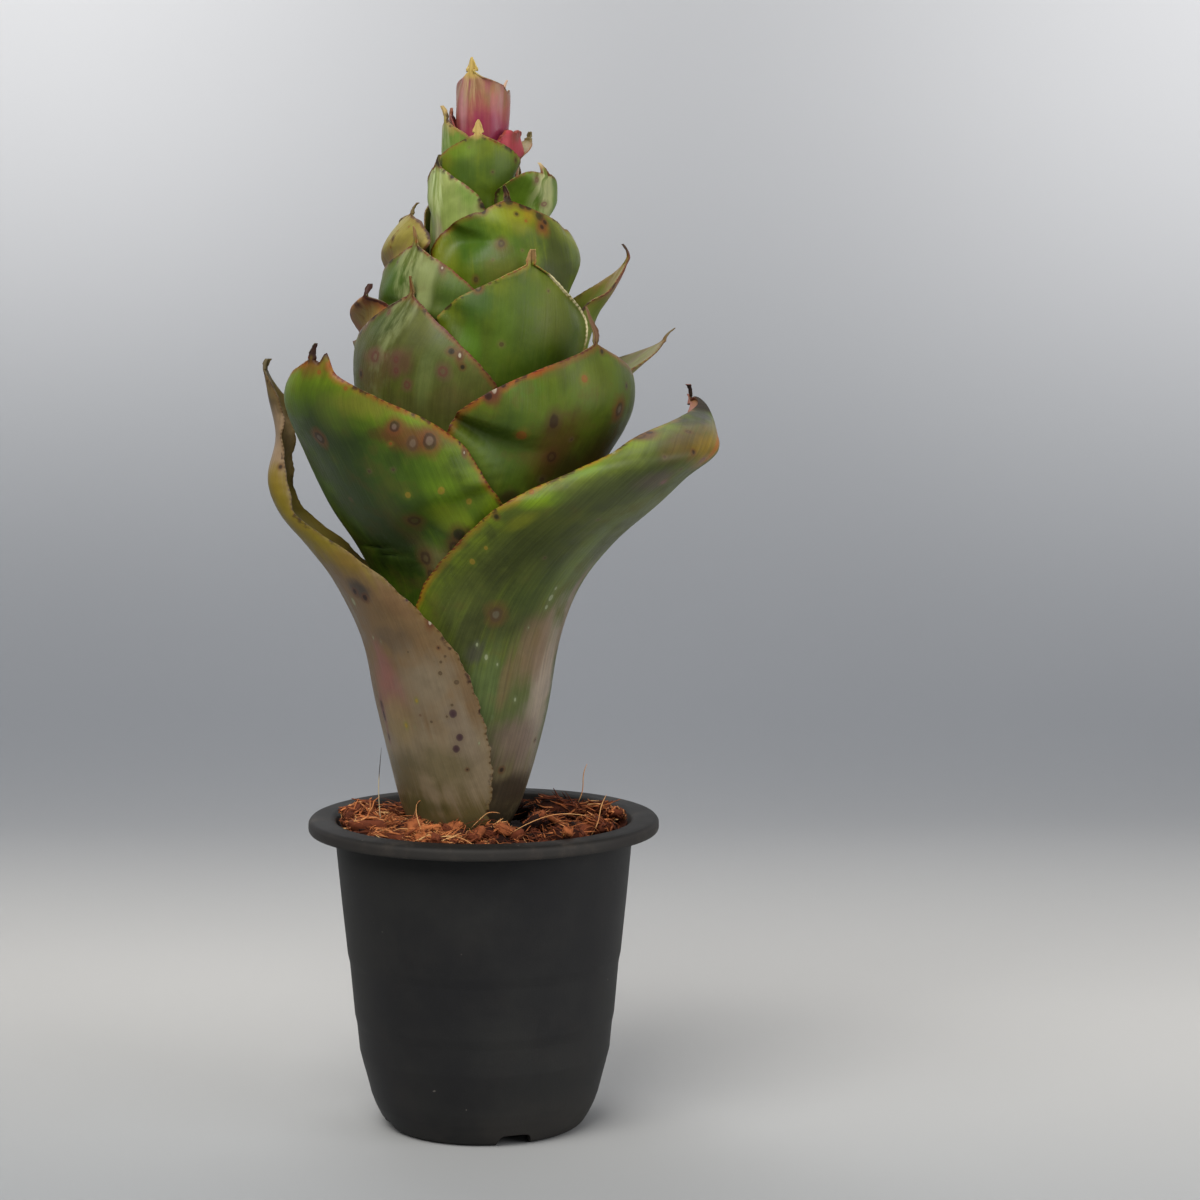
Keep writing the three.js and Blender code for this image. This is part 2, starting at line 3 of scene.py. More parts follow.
import bpy
import numpy as np
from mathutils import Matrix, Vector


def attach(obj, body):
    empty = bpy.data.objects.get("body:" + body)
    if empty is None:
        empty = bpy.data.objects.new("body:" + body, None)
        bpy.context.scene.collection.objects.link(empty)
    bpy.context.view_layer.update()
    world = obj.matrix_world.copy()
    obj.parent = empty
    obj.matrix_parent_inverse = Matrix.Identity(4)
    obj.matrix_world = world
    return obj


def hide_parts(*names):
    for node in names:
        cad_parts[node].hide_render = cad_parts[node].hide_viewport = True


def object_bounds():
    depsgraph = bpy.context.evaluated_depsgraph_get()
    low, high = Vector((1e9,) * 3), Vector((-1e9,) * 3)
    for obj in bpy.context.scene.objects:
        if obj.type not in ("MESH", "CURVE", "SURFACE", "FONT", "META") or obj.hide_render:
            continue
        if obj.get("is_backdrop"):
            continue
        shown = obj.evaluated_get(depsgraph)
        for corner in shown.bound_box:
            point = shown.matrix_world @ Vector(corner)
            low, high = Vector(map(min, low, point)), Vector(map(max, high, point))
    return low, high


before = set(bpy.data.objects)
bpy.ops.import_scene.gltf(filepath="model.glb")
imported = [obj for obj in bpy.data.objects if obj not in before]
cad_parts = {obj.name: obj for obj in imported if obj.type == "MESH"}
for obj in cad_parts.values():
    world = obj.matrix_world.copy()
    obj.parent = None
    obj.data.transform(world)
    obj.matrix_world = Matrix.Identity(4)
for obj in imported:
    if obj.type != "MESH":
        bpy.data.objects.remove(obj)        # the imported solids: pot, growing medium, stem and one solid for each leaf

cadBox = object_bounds()
scene = bpy.context.scene
mm = 0.001               # lengths below are in millimetres, meshes are in metres
degree = math.pi / 180
draw = np.random.default_rng(41)

# Camera, soft light and a pale sweep

stageLook = {
    "cameraPlace": (0.0, -1000.0, 277.0),
    "cameraDown": 6.33,      # degrees below the horizon
    "cameraRight": 2.09,     # degrees to the right of the pot
    "lens": 96.69,
    "floorFront": -5000.0,
    "floorBack": 520.0,      # where the floor starts to curve up
    "floorCurve": 420.0,
    "curveSteps": 24,
    "floorWide": 9000.0,
    "wallHigh": 2300.0,
    "worldStrength": 0.25,
}

# Soft lights: place, aim, size, power and colour
softLights = {
    "key_softbox": ((-0.45, -0.95, 1.3), (0, 0, 0.15), (1.1, 1.1), 28, (1.0, 0.98, 0.94)),
    "fill_softbox": ((1.2, -0.9, 0.6), (0, 0, 0.15), (0.9, 0.9), 9, (0.98, 0.98, 1.0)),
    "back_softbox": ((-0.2, 0.6, 1.6), (0.1, 0.9, 0.5), (0.9, 0.6), 8, (1.0, 1.0, 1.0)),
    "low_softbox": ((0.75, -0.25, 0.14), (0.04, 0, 0.06), (0.35, 0.3), 1.1, (1.0, 0.98, 0.95)),
}


def addCamera(look):
    camera = bpy.data.objects.new("camera", bpy.data.cameras.new("camera"))
    camera.data.lens = look["lens"]
    camera.data.sensor_width = 36
    camera.data.clip_end = 20
    camera.location = [value * mm for value in look["cameraPlace"]]
    camera.rotation_euler = ((90 - look["cameraDown"]) * degree, 0, -look["cameraRight"] * degree)
    scene.collection.objects.link(camera)
    scene.camera = camera


def addSoftLight(name, place, aim, size, power, colour):
    light = bpy.data.lights.new(name, "AREA")
    light.shape = "RECTANGLE"
    light.size, light.size_y = size
    light.energy = power
    light.color = colour
    lamp = bpy.data.objects.new(name, light)
    lamp.location = place
    x, y, z = np.array(aim, float) - np.array(place, float)
    lamp.rotation_euler = (math.atan2(math.hypot(x, y), -z), 0, math.atan2(x, -y) + math.pi)
    scene.collection.objects.link(lamp)


def setWorld(strength):
    world = bpy.data.worlds.new("studio")
    world.use_nodes = True
    background = world.node_tree.nodes["Background"]
    background.inputs["Color"].default_value = (0.95, 0.97, 1.0, 1)
    background.inputs["Strength"].default_value = strength
    scene.world = world


# Short ways to write materials

def tone(text):          # "#rrggbb" as a linear colour
    parts = [int(text[k:k + 2], 16) / 255 for k in (1, 3, 5)]
    linear = [part / 12.92 if part <= 0.04045 else ((part + 0.055) / 1.055) ** 2.4 for part in parts]
    return (*linear, 1.0)


class Finish:            # one material with its shader, and short ways to add nodes
    def __init__(self, name, roughness=0.5, specular=0.5, coat=0.0, coatRoughness=0.3):
        self.material = bpy.data.materials.new(name)
        self.material.use_nodes = True
        self.nodes = self.material.node_tree.nodes
        self.links = self.material.node_tree.links
        self.shader = self.nodes["Principled BSDF"]
        self.shader.inputs["Roughness"].default_value = roughness
        self.shader.inputs["Specular IOR Level"].default_value = specular
        self.shader.inputs["Coat Weight"].default_value = coat
        self.shader.inputs["Coat Roughness"].default_value = coatRoughness

    def node(self, kind, inputs=(), out=0, **settings):
        node = self.nodes.new("ShaderNode" + kind)
        for key, value in settings.items():
            setattr(node, key, value)
        for key, value in dict(inputs).items():
            self.feed(node.inputs[key], value)
        return node.outputs[out]

    def feed(self, socket, value):
        if isinstance(value, bpy.types.NodeSocket):
            self.links.new(value, socket)
        else:
            socket.default_value = tone(value) if isinstance(value, str) else value

    def place(self, scale=(1, 1, 1), source="Object"):
        where = self.node("TexCoord", out=source)
        return self.node("Mapping", {"Vector": where, "Scale": scale})

    def stored(self, name):                      # a value kept on the mesh's points
        return self.node("Attribute", out="Fac", attribute_name=name)

    def noise(self, where, scale, detail=3.0, rough=0.55, twist=0.0):
        sizes = {"Vector": where, "Scale": scale, "Detail": detail, "Roughness": rough, "Distortion": twist}
        return self.node("TexNoise", sizes, out="Fac")

    def sum(self, how, a, b=0.0):
        return self.node("Math", {0: a, 1: b}, operation=how)

    def plus(self, *parts):                      # values, or (value, how much of it), added up
        total = None
        for part in parts:
            value = self.sum("MULTIPLY", *part) if isinstance(part, tuple) else part
            total = value if total is None else self.sum("ADD", total, value)
        return total

    def times(self, *parts):
        total = parts[0]
        for part in parts[1:]:
            total = self.sum("MULTIPLY", total, part)
        return total

    def ease(self, value, low, high, start=0.0, end=1.0):      # smooth step from start at low to end at high
        ends = {"Value": value, "From Min": low, "From Max": high, "To Min": start, "To Max": end}
        return self.node("MapRange", ends, interpolation_type="SMOOTHSTEP")

    def over(self, amount, below, above, how="MIX"):
        mixed = {0: amount, 6: below, 7: above}
        return self.node("Mix", mixed, out=2, data_type="RGBA", blend_type=how)

    def colour(self, value):
        self.feed(self.shader.inputs["Base Color"], value)

    def rough(self, value):
        self.feed(self.shader.inputs["Roughness"], value)

    def bump(self, height, distance, strength=1.0):            # distance in millimetres
        sizes = {"Height": height, "Distance": distance * mm, "Strength": strength}
        self.feed(self.shader.inputs["Normal"], self.node("Bump", sizes))


def addMesh(name, points, faces, finish, smooth=True):
    mesh = bpy.data.meshes.new(name)
    mesh.from_pydata((np.asarray(points) * mm).tolist(), [], faces)
    mesh.polygons.foreach_set("use_smooth", [smooth] * len(mesh.polygons))
    mesh.materials.append(finish)
    piece = bpy.data.objects.new(name, mesh)
    scene.collection.objects.link(piece)
    return piece


def keepOnPoints(mesh, name, values):
    attribute = mesh.attributes.new(name, "FLOAT", "POINT")
    attribute.data.foreach_set("value", np.asarray(values, np.float32).ravel())


# Stem and leaf rules, the same as the solids'

stemShape = {
    "foot": 58.0, "top": 287.0, "radiusLow": 11.6, "radiusHigh": 2.6, "narrowsFrom": 88.0, "taper": 0.8,
    "leanStart": 97.0, "offset": -6.0, "lean": 0.03,
}

leafShape = {
    "thickness": 0.8, "marginThickness": 0.42, "tipThickness": 0.3,
    "clearance": 0.85,       # from the stem to a leaf's middle surface
    "seatWide": 1.65,        # half width at the foot, against the radius there
    "apexPower": 1.1,        # how blunt the closing margins are
    "steepest": 1.4,
    "rowsToTip": 1.35,       # how much closer the rows are towards the tip
    "spikeHalf": 1.0, "spikePoint": 0.12, "spikeRows": 14,
    "toothPitch": 2.1, "toothDepth": 0.28,
}

# How a leaf of each size keeps the leaves inside it, and how finely it is made
leafSizes = {
    "wide": {"gap": 1.9, "hold": 5, "ease": 0.035, "columns": 36, "rows": 200},
    "middle": {"gap": 1.8, "hold": 4, "ease": 0.05, "columns": 34, "rows": 170},
    "small": {"gap": 1.5, "hold": 3, "ease": 0.08, "columns": 30, "rows": 120},
    "rolled": {"gap": 1.4, "hold": 3, "ease": 0.08, "columns": 64, "rows": 110},
}


def axisAt(z):
    return stemShape["offset"] + stemShape["lean"] * (z - stemShape["leanStart"])


def stemRadius(z):
    low, high = stemShape["radiusLow"], stemShape["radiusHigh"]
    span = stemShape["top"] - stemShape["narrowsFrom"]
    t = np.clip((z - stemShape["narrowsFrom"]) / span, 0, 1)
    return low + (high - low) * t ** stemShape["taper"]


def footReach(z):
    return stemRadius(z) + leafShape["clearance"]


def blend(rows, x):      # smooth curve through rows of numbers, placed by the first number of each row
    table = np.array(rows, float)
    last = len(table) - 1
    x = np.asarray(x, float)
    k = np.clip(np.searchsorted(table[:, 0], x) - 1, 0, last - 1)
    before, start = table[np.maximum(k - 1, 0)], table[k]
    end, after = table[k + 1], table[np.minimum(k + 2, last)]
    span = end[..., :1] - start[..., :1]
    t = np.clip((x[..., None] - start[..., :1]) / span, 0, 1)
    rise = end - start
    a = (end - before) / (end[..., :1] - before[..., :1]) * span - rise
    b = rise - (after - start) / (after[..., :1] - start[..., :1]) * span
    return start + rise * t + t * (1 - t) * (a * (1 - t) + b * t)


# Rows of a leaf that hugs the tower: height, reach of the midrib, radius of the section, half width, turn
def scaleLeaf(
        size, foot, top, reach, half, turn, apex, curl=0.8, nod=0.88, rise=(0.42, 0.82), spike=(5, 1, 0)):
    start = footReach(foot)
    tall = top - foot
    low, high = turn
    first, second = (start + (reach - start) * t for t in rise)
    rows = [
        (foot, start, start, start * leafShape["seatWide"], low),
        (foot + 0.3 * tall, first, first, half * 0.85, low),
        (foot + 0.6 * tall, second, second * (1 + curl) / 2, half, low + (high - low) * 0.15),
        (foot + 0.85 * tall, reach, reach * curl, half, low + (high - low) * 0.55),
        (top, reach * nod, reach * nod * curl, half, high),
    ]
    return {"size": size, "rows": rows, "apex": apex, "spike": spike}


# Rows of a leaf that leaves the tower, each written out, from its foot on the stem
def freeLeaf(size, rows, spike, apex=0):
    foot, turn = rows[0]
    start = footReach(foot)
    seat = (foot, start, start, start * leafShape["seatWide"], turn)
    return {"size": size, "rows": [seat, *rows[1:]], "apex": apex, "spike": spike}


# Leaves from the ground up, so that each one lies inside those before it
leaves = {
    "leaf_01_left_clasping": freeLeaf("wide", [
        (87, -80), (101, 19.2, 19.2, 34, -80), (116, 23.6, 23.6, 41, -80), (135, 28.6, 28.6, 43, -78),
        (155, 33.4, 32, 41, -80), (173, 42.5, 28, 31, -82), (184, 51, 19, 22, -86), (194, 60, 13, 13, -92),
        (204, 64, 9, 12, -95), (217, 62, 8, 8, -97), (230, 65, 7, 7, -98), (237, 66.5, 6, 2.5, -99),
    ], (4, -1, 0)),
    "leaf_02_front_right": freeLeaf("wide", [
        (92, 50), (104, 17.6, 17.6, 29, 50), (130, 24.3, 24.3, 40, 54), (155, 28.2, 27.5, 47, 57),
        (172, 35, 30, 51, 58), (186, 46.5, 34, 51, 58), (198, 61, 36, 51, 58), (206, 70, 31, 44, 59),
        (214, 78.5, 23, 36, 62), (220, 76.5, 18, 27, 70), (225, 72.5, 15, 15, 86), (229, 71, 12, 3.5, 106),
    ], (3.5, -2, -3)),
    "leaf_03_front_left": freeLeaf("wide", [
        (95, -52), (110, 17.2, 17.2, 30, -52), (130, 23, 23, 38, -52), (160, 26.5, 26, 46, -52),
        (172, 29.5, 28, 49, -52), (184, 36.5, 31, 51, -52), (197, 46, 36, 51.5, -52),
        (214, 56.5, 34, 48.5, -52), (230, 66, 25, 52, -52), (243, 66.5, 20, 52, -47),
    ], (4.5, 0, 2), 30),
    "leaf_04_back_right": freeLeaf("wide", [
        (100.5, 160), (118, 18.4, 18.4, 30, 160), (135, 22, 22, 34, 160), (155, 24.5, 24.5, 36, 162),
        (180, 30.5, 29, 38, 164), (206, 43, 32, 39, 166), (226, 51, 29, 40, 170), (238, 53, 24, 40, 174),
    ], (5, 2, 0), 34),
    "leaf_05_back_left": freeLeaf("wide", [
        (106, -145), (122, 18.5, 18.5, 28, -145), (138, 20.5, 20.5, 33, -145), (160, 22.5, 22.5, 35, -143),
        (185, 27, 26.6, 35, -142), (206, 37.5, 28, 35, -140), (225, 44.5, 25, 35, -138),
    ], (5, 2, 0), 32),
    "leaf_06_front_right": scaleLeaf(
        "middle", 111, 247, 52, 49, (47, 47), 24, 0.73, 0.93, (0.3, 0.58), (11, -2, -3)),
    "leaf_07_right": freeLeaf("middle", [
        (115.5, 112), (150, 16.5, 16.5, 20, 112), (190, 24.8, 23.5, 20, 112), (216, 34, 23, 21, 112),
        (229, 43, 20, 20, 112), (238.5, 54, 16, 18, 112), (246, 64, 13, 14, 112),
    ], (4, 3.5, 0), 12),
    "leaf_08_back": scaleLeaf("middle", 121, 258, 40, 39, (184, 178), 30, rise=(0.38, 0.62)),
    "leaf_09_front_left": scaleLeaf("middle", 127.5, 262, 38.5, 43, (-65, -38), 34, 0.9, 0.84, (0.4, 0.78)),
    "leaf_10_left_red": freeLeaf("middle", [
        (133, -104), (148, 12, 12, 12, -102), (170, 16.5, 16.5, 16, -102), (215, 27.5, 26, 20, -100),
        (236, 33, 25, 22, -94), (246, 37.5, 23, 23, -86), (254, 41, 21, 23, -78), (261, 36.5, 18, 22, -70),
    ], (3.5, -1.5, 0), 9),
    "leaf_11_front": scaleLeaf(
        "middle", 139, 271, 37, 29.5, (18.5, 27), 19, nod=0.9, rise=(0.4, 0.78), spike=(4, 1, 0)),
    "leaf_12_right": freeLeaf("middle", [
        (148, 106), (180, 19, 19, 18, 106), (215, 27.5, 25, 19, 106), (240, 33.5, 20, 18, 106),
        (254, 38, 16, 16, 106), (263, 43.5, 13, 14, 106), (272, 48.5, 10, 11, 106),
    ], (4.5, -2, 0), 16),
    "leaf_13_back_right": scaleLeaf("middle", 153, 279, 30, 28, (152, 154), 22),
    "leaf_14_front_left": scaleLeaf("middle", 161, 277, 32, 27, (-52, -43), 20, nod=0.88),
    "leaf_15_left_yellow": freeLeaf("middle", [
        (169, -100), (200, 16, 16, 17, -96), (240, 24, 22, 20, -90), (262, 28, 20, 21, -86),
        (271, 30.5, 18, 21, -84), (278, 28.5, 17, 21, -78), (286, 22.5, 15, 21, -66),
    ], (3, -1, 1), 10),
    "leaf_16_front": scaleLeaf("middle", 178, 290, 31, 35, (28, 20), 17, 1, 0.73, (0.5, 1), (4, 0, -1)),
    "leaf_17_back": scaleLeaf("middle", 189, 298, 20, 22, (-164, -166), 18),
    "leaf_18_left": scaleLeaf("small", 200, 301, 16.4, 17, (-52, -58), 14, 0.95, 0.96, spike=(2.5, 0, 1)),
    "leaf_19_right": scaleLeaf(
        "small", 210, 299.5, 23.4, 14.5, (60, 50), 8, 0.8, 0.98, (0.42, 0.7), (2, -1, 0)),
    "leaf_20_back_right": scaleLeaf("small", 221, 309, 14.8, 17, (168, 170), 13),
    "leaf_21_front": scaleLeaf("small", 231, 310, 14.4, 16.5, (-2, -6), 10, 0.95, 0.92, spike=(4, 0, 0)),
    "leaf_22_left": scaleLeaf("small", 241, 314, 12.2, 10, (-62, -68), 6, nod=1, spike=(4.5, 1, -1)),
    "leaf_23_right": scaleLeaf("small", 250, 309, 12.3, 6, (124, 118), 5, 0.95, 1.25, spike=(2, 0, -1)),
    "bract_24_right": scaleLeaf("small", 258, 313, 11, 7.9, (72, 62), 6, nod=1, spike=(1, 0, 0)),
    "bract_25_left": scaleLeaf("small", 266, 317, 10.2, 8, (-100, -96), 7, nod=0.96, spike=(1, 0, 0)),
    "leaf_26_rolled_top": scaleLeaf("rolled", 271, 328, 8, 22, (-30, -30), 9, 1, 0.96, spike=(5, 0, 0)),
    "leaf_27_inner_roll": scaleLeaf("small", 283, 323, 6.2, 9, (98, 98), 7, 1, 1, spike=(3.5, 1, 0)),
}


def sectionAt(leaf, z):  # a leaf's horizontal section: an arc with its centre, radius, turn and half width
    z = np.asarray(z, float)
    reach, round_, half, turn = np.moveaxis(blend(leaf["rows"], z)[..., 1:], -1, 0)
    width = half
    if leaf["apex"] > 0:
        closing = np.clip((leaf["rows"][-1][0] - z) / leaf["apex"], 0, 1)
        width = half * np.sin(0.5 * math.pi * closing ** leafShape["apexPower"])
    climb = (blend(leaf["rows"], z + 1)[..., 1] - blend(leaf["rows"], z - 1)[..., 1]) / 2
    slope = np.clip(climb, -leafShape["steepest"], leafShape["steepest"])
    angle = turn * degree
    return {
        "x": (reach - round_) * np.sin(angle), "y": -(reach - round_) * np.cos(angle), "round": round_,
        "angle": angle, "width": np.maximum(width, leafShape["spikeHalf"]), "steep": np.hypot(1, slope),
    }


def roomInside(outerLeaves, angle, z, hug=1.0):  # how far from the axis a leaf may reach
    dx, dy = np.sin(angle), -np.cos(angle)
    room = np.full(angle.shape, 1e6)
    for outer in outerLeaves:
        top = outer["rows"][-1][0]
        size = leafSizes[outer["size"]]
        s = {key: value[:, None] for key, value in sectionAt(outer, np.minimum(z, top)).items()}
        along = s["x"] * dx + s["y"] * dy
        inside = s["round"] ** 2 - s["x"] ** 2 - s["y"] ** 2 + along ** 2
        distance = along + np.sqrt(np.maximum(inside, 0))
        hit = np.arctan2(distance * dx - s["x"], -(distance * dy - s["y"])) - s["angle"]
        turn = np.abs(np.arctan2(np.sin(hit), np.cos(hit)))
        past = np.maximum(0, turn * s["round"] - s["width"]) + np.maximum(0, z - top)[:, None]
        limit = np.minimum(distance, room) - size["gap"] * s["steep"]
        limit = limit + hug * size["ease"] * np.maximum(0, past - size["hold"]) ** 2
        room = np.where((inside > 0) & (distance > 0), np.minimum(room, limit), room)
    return room


def softened(values, rounds):                    # averages each value with its neighbours
    for _ in range(rounds):
        padded = np.pad(values, 1, mode="edge")
        sides = padded[:-2, 1:-1] + padded[2:, 1:-1] + padded[1:-1, :-2] + padded[1:-1, 2:]
        values = 0.5 * values + 0.125 * sides
    return values


def unit(vectors):
    return vectors / np.maximum(np.linalg.norm(vectors, axis=-1, keepdims=True), 1e-9)


# Heights of a leaf's rows, and how far each lies along the spike
def leafHeights(leaf, size):
    foot, top = leaf["rows"][0][0], leaf["rows"][-1][0]
    body = foot + (top - foot) * (1 - (1 - np.linspace(0, 1, size["rows"])) ** leafShape["rowsToTip"])
    steps = np.linspace(0, 1, leafShape["spikeRows"] + 1)[1:]
    return np.append(body, top + leaf["spike"][0] * steps), np.append(np.zeros(len(body)), steps)


def leafWidths(section, form, z, spikePart):     # half widths, a little ragged where the leaf is broad
    broad = leafShape["spikeHalf"] * form["spikeWide"]
    thin = leafShape["spikePoint"] + (broad - leafShape["spikePoint"]) * (1 - spikePart) ** 0.8
    width = np.where(spikePart > 0, thin, section["width"])
    ragged = form["ragged"] * (np.sin(z * 0.83 + form["phase"]) + 0.6 * np.sin(z * 1.9 + 2 * form["phase"]))
    return np.maximum(width + np.where(width > 6, ragged, 0), 0.1)


def leafSwells(leaf, form, across, away, z):     # waved margins with a rolled side, and pleats near the tip
    foot, top = leaf["rows"][0][0], leaf["rows"][-1][0]
    free = np.clip((z - foot - 0.45 * (top - foot)) / (0.4 * (top - foot)), 0, 1)[:, None]
    nearSide = np.abs(across)[None, :]
    place = z[:, None] / form["wavePitch"] * 2 * math.pi + form["phase"] + 2.1 * np.sign(across)[None, :]
    waves = (np.sin(place) + 0.5 * np.sin(place * 2.3)) * form["wave"] * nearSide ** 5
    rolled = form["roll"] * np.clip(nearSide - 0.95, 0, 1) / 0.05 * (across[None, :] * form["rollSide"] > 0)
    toTip = np.hypot(away, (top - z)[:, None])
    nearTip = np.clip(1 - toTip / form["pleatLong"], 0, 1)
    ray = away / (toTip + 4)
    pleats = form["pleat"] * nearTip * np.cos(2 * math.pi * ray * form["pleatCount"]) * (1 - nearSide ** 3)
    return (waves + rolled) * free, pleats


def keptInside(order, form, reach, angle, z):    # keeps a leaf inside those before it and off the stem
    room = roomInside(list(leaves.values())[:order], angle, z, form["hug"])
    reach = np.minimum(reach, room)
    body = len(z) - leafShape["spikeRows"]
    reach[:body] = np.minimum(softened(reach[:body], form["soft"]), room[:body] + 0.7)
    least = np.where(z < stemShape["top"], footReach(z), 0)[:, None]
    return np.maximum(reach, least)


# Grid of a leaf's middle surface, with the distance of each point from the midrib, along the section
def leafGrid(order, form):
    leaf = list(leaves.values())[order]
    size = leafSizes[leaf["size"]]
    across = np.sin(0.5 * math.pi * np.linspace(-1, 1, size["columns"]))
    z, spikePart = leafHeights(leaf, size)
    s = sectionAt(leaf, np.minimum(z, leaf["rows"][-1][0]))
    away = across[None, :] * leafWidths(s, form, z, spikePart)[:, None]
    turn = s["angle"][:, None] + away / s["round"][:, None]
    x = s["x"][:, None] + s["round"][:, None] * np.sin(turn)
    y = s["y"][:, None] - s["round"][:, None] * np.cos(turn)
    bend = (spikePart ** 2)[:, None]
    sway = form["spikeSway"] * np.sin(spikePart * 7)[:, None]
    sinTurn, cosTurn = np.sin(s["angle"])[:, None], np.cos(s["angle"])[:, None]
    x = x + bend * leaf["spike"][1] * sinTurn + (bend * leaf["spike"][2] + sway) * cosTurn
    y = y + (bend * leaf["spike"][2] + sway) * sinTurn - bend * leaf["spike"][1] * cosTurn
    angle = np.arctan2(x, -y)
    waved, pleats = leafSwells(leaf, form, across, away, z)
    reach = keptInside(order, form, np.hypot(x, y) + waved + pleats, angle, z)
    height = np.repeat(z[:, None], len(across), 1)
    points = np.stack([axisAt(height) + reach * np.sin(angle), -reach * np.cos(angle), height], -1)
    return pulled(points, away, form["pulls"]), across, away, spikePart


# Draws small places out, sideways and up, for torn and dried ends
def pulled(points, away, pulls):
    shaped = points.copy()
    for place, spread, out, side, up in pulls:
        centre = nearestPoint(points, away, place)
        outward = np.array([centre[0] - axisAt(centre[2]), centre[1], 0])
        outward = outward / np.linalg.norm(outward)
        sideways = np.array([-outward[1], outward[0], 0])
        move = out * outward + side * sideways + np.array([0, 0, up])
        near = np.exp(-(np.linalg.norm(points - centre, axis=2) / spread) ** 2)
        shaped += near[..., None] * move
    return shaped


def nearestPoint(points, away, place):           # surface point at a distance from the midrib and a height
    row = int(np.argmin(np.abs(points[:, 0, 2] - place[1])))
    column = int(np.argmin(np.abs(away[row] - place[0])))
    return points[row, column]


def toothed(points, form):                       # fine teeth along both margins
    shaped = points.copy()
    for edge, inner in ((0, 1), (-1, -2)):
        line = points[:, edge]
        run = np.append(0, np.cumsum(np.linalg.norm(np.diff(line, axis=0), axis=1)))
        beat = run / leafShape["toothPitch"]
        cell = np.floor(beat)
        tall = 0.35 + 0.65 * np.abs(np.sin(cell * 12.9898 + form["phase"] * 7 + edge))
        depth = leafShape["toothDepth"] * tall * (1 - (beat - cell)) * form["teeth"]
        outward = unit(line - points[:, 3 if edge == 0 else -4])
        shaped[:, edge] = line + outward * depth[:, None]
        shaped[:, inner] = points[:, inner] + outward * depth[:, None] * 0.5
    return shaped


def thickened(points, across, spikePart):        # both faces of a leaf, joined round its margin
    rows, columns = points.shape[:2]
    normal = unit(np.cross(np.gradient(points, axis=1), np.gradient(points, axis=0)))
    thick = leafShape["thickness"] + (leafShape["marginThickness"] - leafShape["thickness"]) * across ** 8
    thick = thick[None, :] + (leafShape["tipThickness"] - thick[None, :]) * spikePart[:, None]
    offset = normal * (thick / 2)[..., None]
    both = np.concatenate([(points + offset).reshape(-1, 3), (points - offset).reshape(-1, 3)])
    start = (np.arange(rows - 1)[:, None] * columns + np.arange(columns - 1)[None, :]).ravel()
    outer = np.stack([start, start + 1, start + columns + 1, start + columns], 1)
    inner = outer[:, ::-1] + rows * columns
    loop = np.concatenate([
        np.arange(columns - 1), np.arange(rows - 1) * columns + columns - 1,
        (rows - 1) * columns + np.arange(columns - 1, 0, -1), np.arange(rows - 1, 0, -1) * columns,
    ])
    after = np.roll(loop, -1)
    rim = np.stack([loop, loop + rows * columns, after + rows * columns, after], 1)
    return both, np.concatenate([outer, inner, rim]).tolist()


# Looks of the leaves. A fade is two heights, a colour and its share. A pale rim is the distance from the
# midrib where it starts, two heights and a colour. A dead end is its reach from the tip and its soft width.

plainLook = {
    "fresh": "#56701c", "deep": "#3c5212", "bright": "#86902a", "brightShare": 0.5, "brightWide": 9.0,
    "edge": "#4c2416", "edgeWide": 0.5, "glow": "#8a5222", "glowWide": 2.6, "glowShare": 0.6,
    "dry": "#5a4030", "dryLong": 3.0, "paleRaysAndHighlight": "#b4b880", "fanLong": 30.0, "fanWide": 5.0, "fanShare": 0.3,
    "rays": 3.0, "blotch": "#5c3a22", "blotchShare": 0.25, "fades": (), "grime": 0.0,
    "veinShare": 0.12, "inside": "#8a8a52", "gloss": 0.0, "paleRim": (), "dead": (), "warm": 0.0,
}

plainForm = {
    "wave": 0.45, "wavePitch": 27.0, "phase": 0.0, "pleat": 0.22, "pleatCount": 3.0, "pleatLong": 30.0,
    "roll": 0.0, "rollSide": 1, "teeth": 1.0, "ragged": 0.16, "spikeWide": 1.0, "spikeSway": 0.0, "soft": 6,
    "hug": 1.0, "pulls": (),
}

